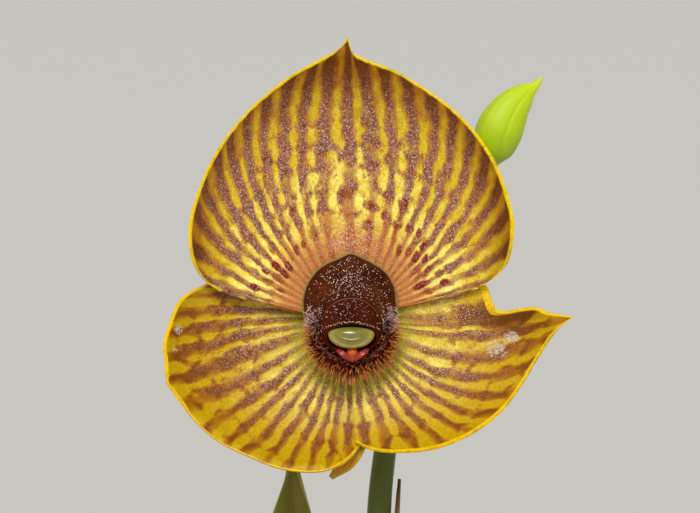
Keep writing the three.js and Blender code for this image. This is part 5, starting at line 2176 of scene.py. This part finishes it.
@dataclass
class FlowerCentre:
    """The velvety callus, the hooded column with its cap and beak, and the bristles round them."""

    seed: int = 21
    callus_radius: Sequence[float] = (
        5.75, 5.75, 5.75, 5.65, 5.5, 5.6, 6.0, 5.6, 5.6, 5.75, 5.85, 6.0,
        6.1, 6.2, 6.3, 5.9, 5.3, 5.0, 5.0, 5.1, 5.3, 5.7, 6.1, 6.0,
    )
    callus_middle: float = 2.2
    callus_profile: Sequence[Pair] = (
        (0.95, 2.3), (1.0, 2.6), (1.0, 3.15), (0.98, 3.4), (0.955, 3.45), (0.925, 3.4),
        (0.87, 3.62), (0.74, 4.1), (0.5, 4.5), (0.25, 4.62), (0.0, 4.65),
    )
    head: Vector = field(default_factory=lambda: Vector((3.9, 3.7, 2.9)))
    head_height: float = -1.0
    head_depth: float = 5.2
    head_rings: int = 44
    # Depth, half width, half height and middle of each ring below the head
    column_foot: Sequence[Sequence[float]] = (
        (-3.6, 2.3, 2.3, 0.0), (-3.3, 2.5, 2.5, 0.0), (0.0, 2.5, 2.5, 0.0), (2.7, 2.6, 2.6, -0.1),
    )
    cushion_middle: Triple = (0.1, -1.9, 3.5)  # x, z and depth
    cushion_half: Pair = (4.3, 3.4)
    callus_hairs: int = 1900
    hood_hairs: int = 58
    column_hairs: int = 170
    fringe_hairs: int = 95
    # Lean in degrees and number, from those that lie back on the petals to those that lean over the head
    bristle_rows: Sequence[tuple[int, int]] = (
        (4, 76), (20, 86), (38, 88), (56, 82), (74, 70), (94, 60), (112, 40),
    )
    # Of the wedge and the side lobes: x, z, depth, half x, half z, tilt, taper, fold and heart
    beak_forms: Sequence[Sequence[float]] = (
        (0.15, -4.4, 6.35, 0.78, 1.0, 0.0, 0.85, 0.0, 1.0),
        (-0.82, -4.42, 6.15, 1.3, 0.5, -36.0, 0.0, 0.22, 0.2),
        (1.17, -4.42, 6.15, 1.3, 0.5, 36.0, 0.0, 0.22, 0.2),
    )
    velvet: Finish = Velvet("callus velvet")
    skin: Finish = Velvet("column skin", "#2a0500", "#4e1a06", "#66701c", 0.215, 0.195)
    # The beads' near-white tips are partly their own pale colour and partly painted highlight
    bead: Finish = Hair("glandular hairs", "#2e0e04", "#7c401c", "#fae8d8", varied=1.5)
    row: Finish = Hair("hood hairs", "#5a3c24", "#8c765a", "#d8c8b0", varied=1.4)
    # Bristles above 150 mm are paler, partly painted highlight
    spine: Finish = Hair("bristles", "#200503", "#681a0a", "#dc8640", 150.0, varied=0.6)
    fringe: Finish = Hair("fringe hairs", "#4a1812", "#c89488", "#fff4ee", varied=0.9)
    gland: Finish = Glaze("anther cap", "#726c20", "#a69a48", 0.42, 0.1)
    lobe: Finish = Glaze("beak", "#bc4c14", "#8c1409", 0.62, 0.35, "#4c080c")
    ridge: Finish = Herb("hood edge", "#5c260e", "#6c3012", "#5c260e", "#8c4c22")

    def head_front(self, x: float, z: float) -> float:
        """Gives the depth of the column's face at a place in the flower's plane."""
        rest = 1 - (x / self.head.x) ** 2 - ((z - self.head_height) / self.head.y) ** 2
        return self.head_depth + self.head.z * math.sqrt(max(rest, 0.0))

    def callus_rim(self, turn: float, scale: float = 1.0) -> Pair:
        """Gives a place in the flower's plane on the callus's outline, or inside it.

        Args:
            turn: Share of a turn from the right, anticlockwise.
            scale: 1 for the outline, less for inside it.

        Returns:
            Its x and z.
        """
        radius = around(self.callus_radius, turn) * scale
        return radius * math.cos(turn * math.tau), self.callus_middle + radius * math.sin(turn * math.tau)

    def build(self) -> None:
        """Builds every piece of the centre."""
        rng = random.Random(self.seed)
        self.build_callus(rng)
        self.build_column(rng)
        self.build_cap()
        self.build_beak()
        self.build_bristles(rng)

    def build_callus(self, rng: random.Random) -> None:
        """Builds the callus pad, and the glandular hairs on it.

        Args:
            rng: The seeded draws.
        """
        profile = self.callus_profile
        last = len(profile) - 1

        def place(share: float, turn: float) -> Vector:
            """Gives a point of the pad's skin.

            Args:
                share: Share of the way along the profile.
                turn: Turn round the pad.

            Returns:
                The point.
            """
            scale, depth = profile[round(share * last)]
            return in_flower(*self.callus_rim(turn, scale), depth)

        bm = new_mesh()
        ringed(bm, 96, last, place)
        finish_piece("callus_pad", bm, self.velvet, Slot.CALLUS, "callus", crease=60)
        hairs = new_mesh()
        hair = self.glandular_hair()
        top = profile[6:]
        reach = top[0][0]
        for _ in range(self.callus_hairs):
            turn, scale = rng.random(), math.sqrt(rng.uniform(0.0, 0.80))
            x, z = self.callus_rim(turn, scale)
            # Thickest on the crown, and none under the column's head or below it
            crown = math.exp(-((x / 2.2) ** 2) - ((z - 5) / 2.5) ** 2)
            if self.head_front(x, z) > self.head_depth or z < -2.5 or rng.random() > 0.27 + 0.8 * crown:
                continue
            depth = through([d for _, d in top], min(max((reach - scale) / reach, 0), 1))
            lean = Vector((rng.gauss(0, 0.35), -1, rng.gauss(0.15, 0.35))).normalized()
            tall = rng.uniform(0.18, 0.5)
            stand(hairs, hair, in_flower(x, z, depth - 0.1), lean, tall, rng.uniform(0.3, 0.75))
        finish_piece("callus_hairs", hairs, self.bead, Slot.CALLUS, crease=ALL_SOFT)

    @staticmethod
    def glandular_hair() -> bpy.types.Mesh:
        """Makes one stalked bead, one unit tall.

        Returns:
            The template.
        """
        bm = new_mesh()
        along = bm.verts.layers.float["along"]
        bmesh.ops.create_cone(
            bm, cap_ends=True, segments=4, radius1=0.035, radius2=0.02, depth=0.9,
            matrix=Matrix.Translation((0, 0, 0.45)),
        )
        for vert in bm.verts:
            vert[along] = -0.5
        top = Matrix.Translation((0, 0, 0.93)) @ Matrix.Diagonal((1, 1, 1.6, 1))
        made = bmesh.ops.create_icosphere(bm, subdivisions=1, radius=0.095, matrix=top)
        for vert in made["verts"]:
            vert[along] = 0.3
        return template_of("glandular hair", bm)

    def build_column(self, rng: random.Random) -> None:
        """Builds the column from its foot to the hooded head, and the head's edge and hairs.

        Args:
            rng: The seeded draws.
        """
        stations = list(self.column_foot)
        for i in range(1, self.head_rings + 1):
            swing = 0.84 * math.pi * (1 - i / self.head_rings)
            depth = self.head_depth + self.head.z * math.cos(swing)
            across, up = self.head.x * math.sin(swing), self.head.y * math.sin(swing)
            stations.append((depth, across, up, self.head_height))
        last = len(stations) - 1

        def place(share: float, turn: float) -> Vector:
            """Gives a point of the column's skin.

            Args:
                share: Share of the way from foot to face.
                turn: Turn round the column.

            Returns:
                The point.
            """
            depth, half_x, half_z, middle = stations[round(share * last)]
            angle = turn * math.tau
            x, z = half_x * math.cos(angle), half_z * math.sin(angle)
            hollow = 0.0
            if depth > self.head_depth:
                # The hood's face is drawn in just under its edge, and the cap lies in a socket
                hollow = 0.28 * smooth(0.2, 1.2, z) * smooth(2.9, 2.2, math.hypot(x, z))
                hollow += 1.5 * smooth(1.12, 0.98, math.hypot((x - 0.1) / 2.75, (z + 1.35) / 1.5))
            return in_flower(x, middle + z, depth - hollow)

        bm = new_mesh()
        ringed(bm, 96, last, place)
        finish_piece("column_head", bm, self.skin, Slot.COLUMN, "column", crease=60)
        self.build_hood_edge()
        self.build_hood_hairs(rng)

    def build_hood_edge(self) -> None:
        """Builds the raised edge over the cap's socket."""
        arc = []
        for i in range(17):
            angle = math.radians(14 + 152 * i / 16)
            x, z = 3.68 * math.cos(angle), self.head_height + 3.5 * math.sin(angle)
            arc.append(in_flower(x, z, self.head_front(x, z) + 0.05))
        edge = new_mesh()
        stemmed(edge, 8, 64, Curve(arc), lambda t, _: 0.075 * math.sin(math.pi * (0.03 + 0.94 * t)) ** 0.5)
        finish_piece("hood_edge", edge, self.ridge, Slot.COLUMN)

    def build_hood_hairs(self, rng: random.Random) -> None:
        """Builds the row of hairs across the hood's face, and the hairs over the hood.

        Args:
            rng: The seeded draws.
        """
        hair = self.glandular_hair()
        row = new_mesh()
        for i in range(self.hood_hairs):
            x = 3.0 * (2 * i / (self.hood_hairs - 1) - 1) + rng.uniform(-0.05, 0.05)
            z = -0.42 - 0.72 * (x / 3.1) ** 2 + rng.uniform(-0.13, 0.13)
            lean = Vector((rng.gauss(0, 0.2) + x * 0.1, -1, 0.1)).normalized()
            foot = in_flower(x, z, self.head_front(x, z) - 0.05)
            stand(row, hair, foot, lean, rng.uniform(0.28, 0.5), rng.uniform(0.4, 0.8))
        finish_piece("hood_hairs", row, self.row, Slot.COLUMN, crease=ALL_SOFT)
        hairs = new_mesh()
        for _ in range(self.column_hairs):
            angle, scale = rng.uniform(-0.25, math.pi + 0.25), math.sqrt(rng.uniform(0.05, 0.9))
            x, z = 3.7 * scale * math.cos(angle), self.head_height + 3.5 * scale * math.sin(angle)
            if z < -0.1 and abs(x) < 3.0:
                continue
            lean = Vector((x * 0.12 + rng.gauss(0, 0.2), -1, rng.gauss(0.1, 0.25))).normalized()
            foot = in_flower(x, z, self.head_front(x, z) - 0.3)
            stand(hairs, hair, foot, lean, rng.uniform(0.35, 0.6), rng.uniform(0.3, 0.6))
        finish_piece("column_hairs", hairs, self.bead, Slot.COLUMN, crease=ALL_SOFT)

    def build_cap(self) -> None:
        """Builds the glossy cap: a lens with a curved ridge across it and a paler rim."""
        bm = new_mesh()
        along = bm.verts.layers.float["along"]
        bmesh.ops.create_uvsphere(bm, u_segments=96, v_segments=64, radius=1.0)
        for vert in bm.verts:
            x, y, z = vert.co
            out = math.hypot(x, z)
            front = smooth(0.0, -0.2, y)
            # The rim shows below and at the sides, where the hood doesn't cover it
            vert[along] = 1 - out * (1.0 - 0.16 * z) if y < 0 else 0.0
            crest = math.exp(-(((z + 0.4 - 0.9 * x * x) / 0.06) ** 2)) * smooth(0.7, 0.4, abs(x))
            collar = math.exp(-(((out - 0.88) / 0.06) ** 2)) * smooth(0.35, 0.0, z)
            lift = front * (0.07 * crest + 0.07 * collar - 0.10 * smooth(0.88, 0.75, out))
            # Flatter above its widest place than below it
            height = 0.97 * z**0.8 if z > 0 else 1.72 * z
            vert.co = in_flower(0.04 + 2.84 * x, -1.93 + height, 7.1 - 1.5 * y * (1 + lift))
        finish_piece("anther_cap_lens", bm, self.gland, Slot.CAP, "anther_cap", crease=ALL_SOFT)

    def build_beak(self) -> None:
        """Builds the beak: a tapered wedge between two side lobes."""
        bm = new_mesh()
        along = bm.verts.layers.float["along"]
        for cx, cz, depth, half_x, half_z, tilt, taper, fold, heart in self.beak_forms:
            lean = Matrix.Rotation(math.radians(-tilt), 3, "Y")
            for vert in bmesh.ops.create_uvsphere(bm, u_segments=28, v_segments=18, radius=1.0)["verts"]:
                x, y, z = vert.co
                narrow = 1 - taper * smooth(0.4, -1.0, z)
                flat = 1 - fold * math.exp(-((z / 0.3) ** 2)) if y < 0 else 1
                vert[along] = heart
                local = lean @ Vector((half_x * x * narrow, y * narrow * flat, half_z * z))
                vert.co = in_flower(cx + local.x, cz + local.z, depth - local.y)
        finish_piece("beak_lobes", bm, self.lobe, Slot.BEAK, "beak", crease=ALL_SOFT)

    def build_bristles(self, rng: random.Random) -> None:
        """Builds the curved cushion and the bristles that stand on it.

        Args:
            rng: The seeded draws.
        """
        x0, z0, depth = self.cushion_middle
        half_x, half_z = self.cushion_half

        def cushion(turn: float) -> tuple[Vector, Vector]:
            """Follows the cushion's middle line, under the head from side to side.

            Args:
                turn: Share of the way.

            Returns:
                The point, and the outward direction there.
            """
            angle = math.radians(168 + 204 * turn)
            out = Vector((math.cos(angle), 0, math.sin(angle)))
            return in_flower(x0 + half_x * out.x, z0 + half_z * out.z, depth), out

        bm = new_mesh()
        path = Curve([cushion(i / 8)[0] for i in range(9)])
        stemmed(bm, 12, 48, path, lambda t, _: 0.9 * math.sin(math.pi * (0.04 + 0.92 * t)) ** 0.4)
        along = bm.verts.layers.float["along"]
        for vert in bm.verts:
            vert[along] = 0.25
        spine = self.spine_template()
        for tilt, count in self.bristle_rows:
            for k in range(count):
                place, out = cushion(-0.09 + 1.18 * (k + rng.random()) / count)
                swing = math.radians(tilt + rng.gauss(0, 8))
                direction = out * math.cos(swing) + FORWARD * math.sin(swing)
                foot = place + 0.65 * direction
                direction = (direction + Vector((rng.gauss(0, 0.16), 0, rng.gauss(0, 0.16)))).normalized()
                tall = (2.9 - 1.35 * out.x**2 - 0.5 * smooth(60, 110, tilt)) * rng.uniform(0.65, 1.12)
                slim = rng.uniform(0.5, 0.95) * (1 - 0.55 * smooth(148.6, 150.2, place.z))
                stand(bm, spine, foot, direction, tall, slim, rng.uniform(0, ROLL))
        finish_piece("bristle_tuft", bm, self.spine, Slot.BRISTLE, "bristles", crease=ALL_SOFT)
        self.build_fringe(rng, spine)

    def build_fringe(self, rng: random.Random, spine: bpy.types.Mesh) -> None:
        """Builds the paler hairs down both sides of the callus.

        Args:
            rng: The seeded draws.
            spine: One bristle.
        """
        bm = new_mesh()
        for side, low in ((-1, -2.0), (1, -1.3)):
            for _ in range(self.fringe_hairs):
                x, z = side * rng.uniform(3.3, 5.5), rng.uniform(low, 1.7)
                lean = Vector((side * rng.uniform(0.0, 0.8), -1, rng.gauss(-0.25, 0.45))).normalized()
                foot = in_flower(x, z, 3.7 + rng.uniform(-0.1, 0.4))
                stand(bm, spine, foot, lean, rng.uniform(0.7, 1.5), rng.uniform(0.16, 0.26))
        finish_piece("callus_fringe", bm, self.fringe, Slot.BRISTLE, crease=ALL_SOFT)

    @staticmethod
    def spine_template() -> bpy.types.Mesh:
        """Makes one slightly curved bristle, one unit long.

        Returns:
            The template.
        """
        bm = new_mesh()
        path = Curve([(0, 0, 0), (0.02, 0, 0.5), (0.09, 0, 1.0)])
        stemmed(bm, 5, 5, path, lambda t, _: through((0.13, 0.12, 0.10, 0.06, 0.0), t))
        return template_of("spine", bm)


# Studio


@dataclass
class Studio:
    """The pale floor, the soft lights and the camera."""

    # The photograph's frame is 87.5 mm wide at the flower's plane, 500 mm away
    sensor: float = 36.0
    view_width: float = 87.5
    distance: float = 500.0
    camera: Triple = (-0.125, -516.0, 157.69)
    floor_radius: float = 1300.0
    horizon: str = "#d3d0ca"
    zenith: str = "#c4c6c8"

    def build(self) -> None:
        """Sets up the stage."""
        bm = bmesh.new()
        bmesh.ops.create_circle(bm, cap_ends=True, segments=96, radius=self.floor_radius * MM)
        mesh = bpy.data.meshes.new("floor")
        bm.to_mesh(mesh)
        bm.free()
        mesh.materials.append(PaintedFloor("matt floor paint").material())
        floor = bpy.data.objects.new("floor", mesh)
        bpy.context.scene.collection.objects.link(floor)
        self.lamp("key", "SUN", (-110, -760, 480), (0, 0, 0), 1.85, angle=math.radians(22))
        self.lamp("rear", "SUN", (420, 700, 520), (0, 0, 0), 0.8, angle=math.radians(45))
        panel = {"shape": "RECTANGLE", "size": 170 * MM, "size_y": 420 * MM}
        self.lamp("glint", "AREA", (5, -540, 420), (0, -16, 148), 1.2, **panel)
        self.world()
        bpy.context.scene.view_settings.view_transform = "Standard"
        camera = bpy.data.objects.new("camera", bpy.data.cameras.new("camera"))
        bpy.context.scene.collection.objects.link(camera)
        camera.data.sensor_width = self.sensor
        camera.data.lens = self.sensor * self.distance / self.view_width
        camera.data.clip_start = 0.01
        camera.location = Vector(self.camera) * MM
        camera.rotation_euler = (math.pi / 2, 0, 0)
        bpy.context.scene.camera = camera

    def world(self) -> None:
        """Fills the room with soft light, a little brighter at the floor's own level."""
        world = bpy.data.worlds.new("pale room")
        world.use_nodes = True
        tree = world.node_tree
        tree.nodes.clear()
        add = partial(add_node, tree)
        height = add("SeparateXYZ", [add("TexCoord").outputs["Generated"]]).outputs["Z"]
        rise = add("MapRange", [height, 0.0, 0.5])
        tone = add("Mix", [rise, self.horizon, self.zenith], "RGBA")
        back = add("Background", {"Color": tone, "Strength": 0.9})
        add("OutputWorld", {"Surface": back})
        bpy.context.scene.world = world

    @staticmethod
    def lamp(name: str, kind: str, place: Triple, target: Triple, power: float, **settings: Any) -> None:
        """Hangs a light and turns it to its target.

        Args:
            name: Its name.
            kind: SUN for even light from a wide patch of the sky, AREA for a soft panel.
            place: Where it hangs, in millimetres.
            target: What it points at.
            power: In watts to the square metre for a sun, in watts for a panel.
            settings: The light's other properties.
        """
        data = bpy.data.lights.new(name, kind)
        data.energy = power
        for key, value in settings.items():
            setattr(data, key, value)
        lamp = bpy.data.objects.new(name, data)
        bpy.context.scene.collection.objects.link(lamp)
        lamp.location = Vector(place) * MM
        lamp.rotation_euler = (Vector(target) - Vector(place)).to_track_quat("-Z", "Y").to_euler()


def main() -> None:
    """Builds the scene piece by piece."""
    logging.basicConfig(level=logging.INFO, format="%(name)s %(message)s")
    Studio().build()
    basket = Basket()
    basket.build_wood()
    basket.build_metal()
    plant = Plant()
    plant.build()
    trails = [curve.along(i / 40) for curve in plant.root_curves() for i in range(41)]
    MossBed(roots=trails).build()
    Stalks().build()
    Petals().build()
    FlowerCentre().build()


if __name__ == "__main__":
    main()
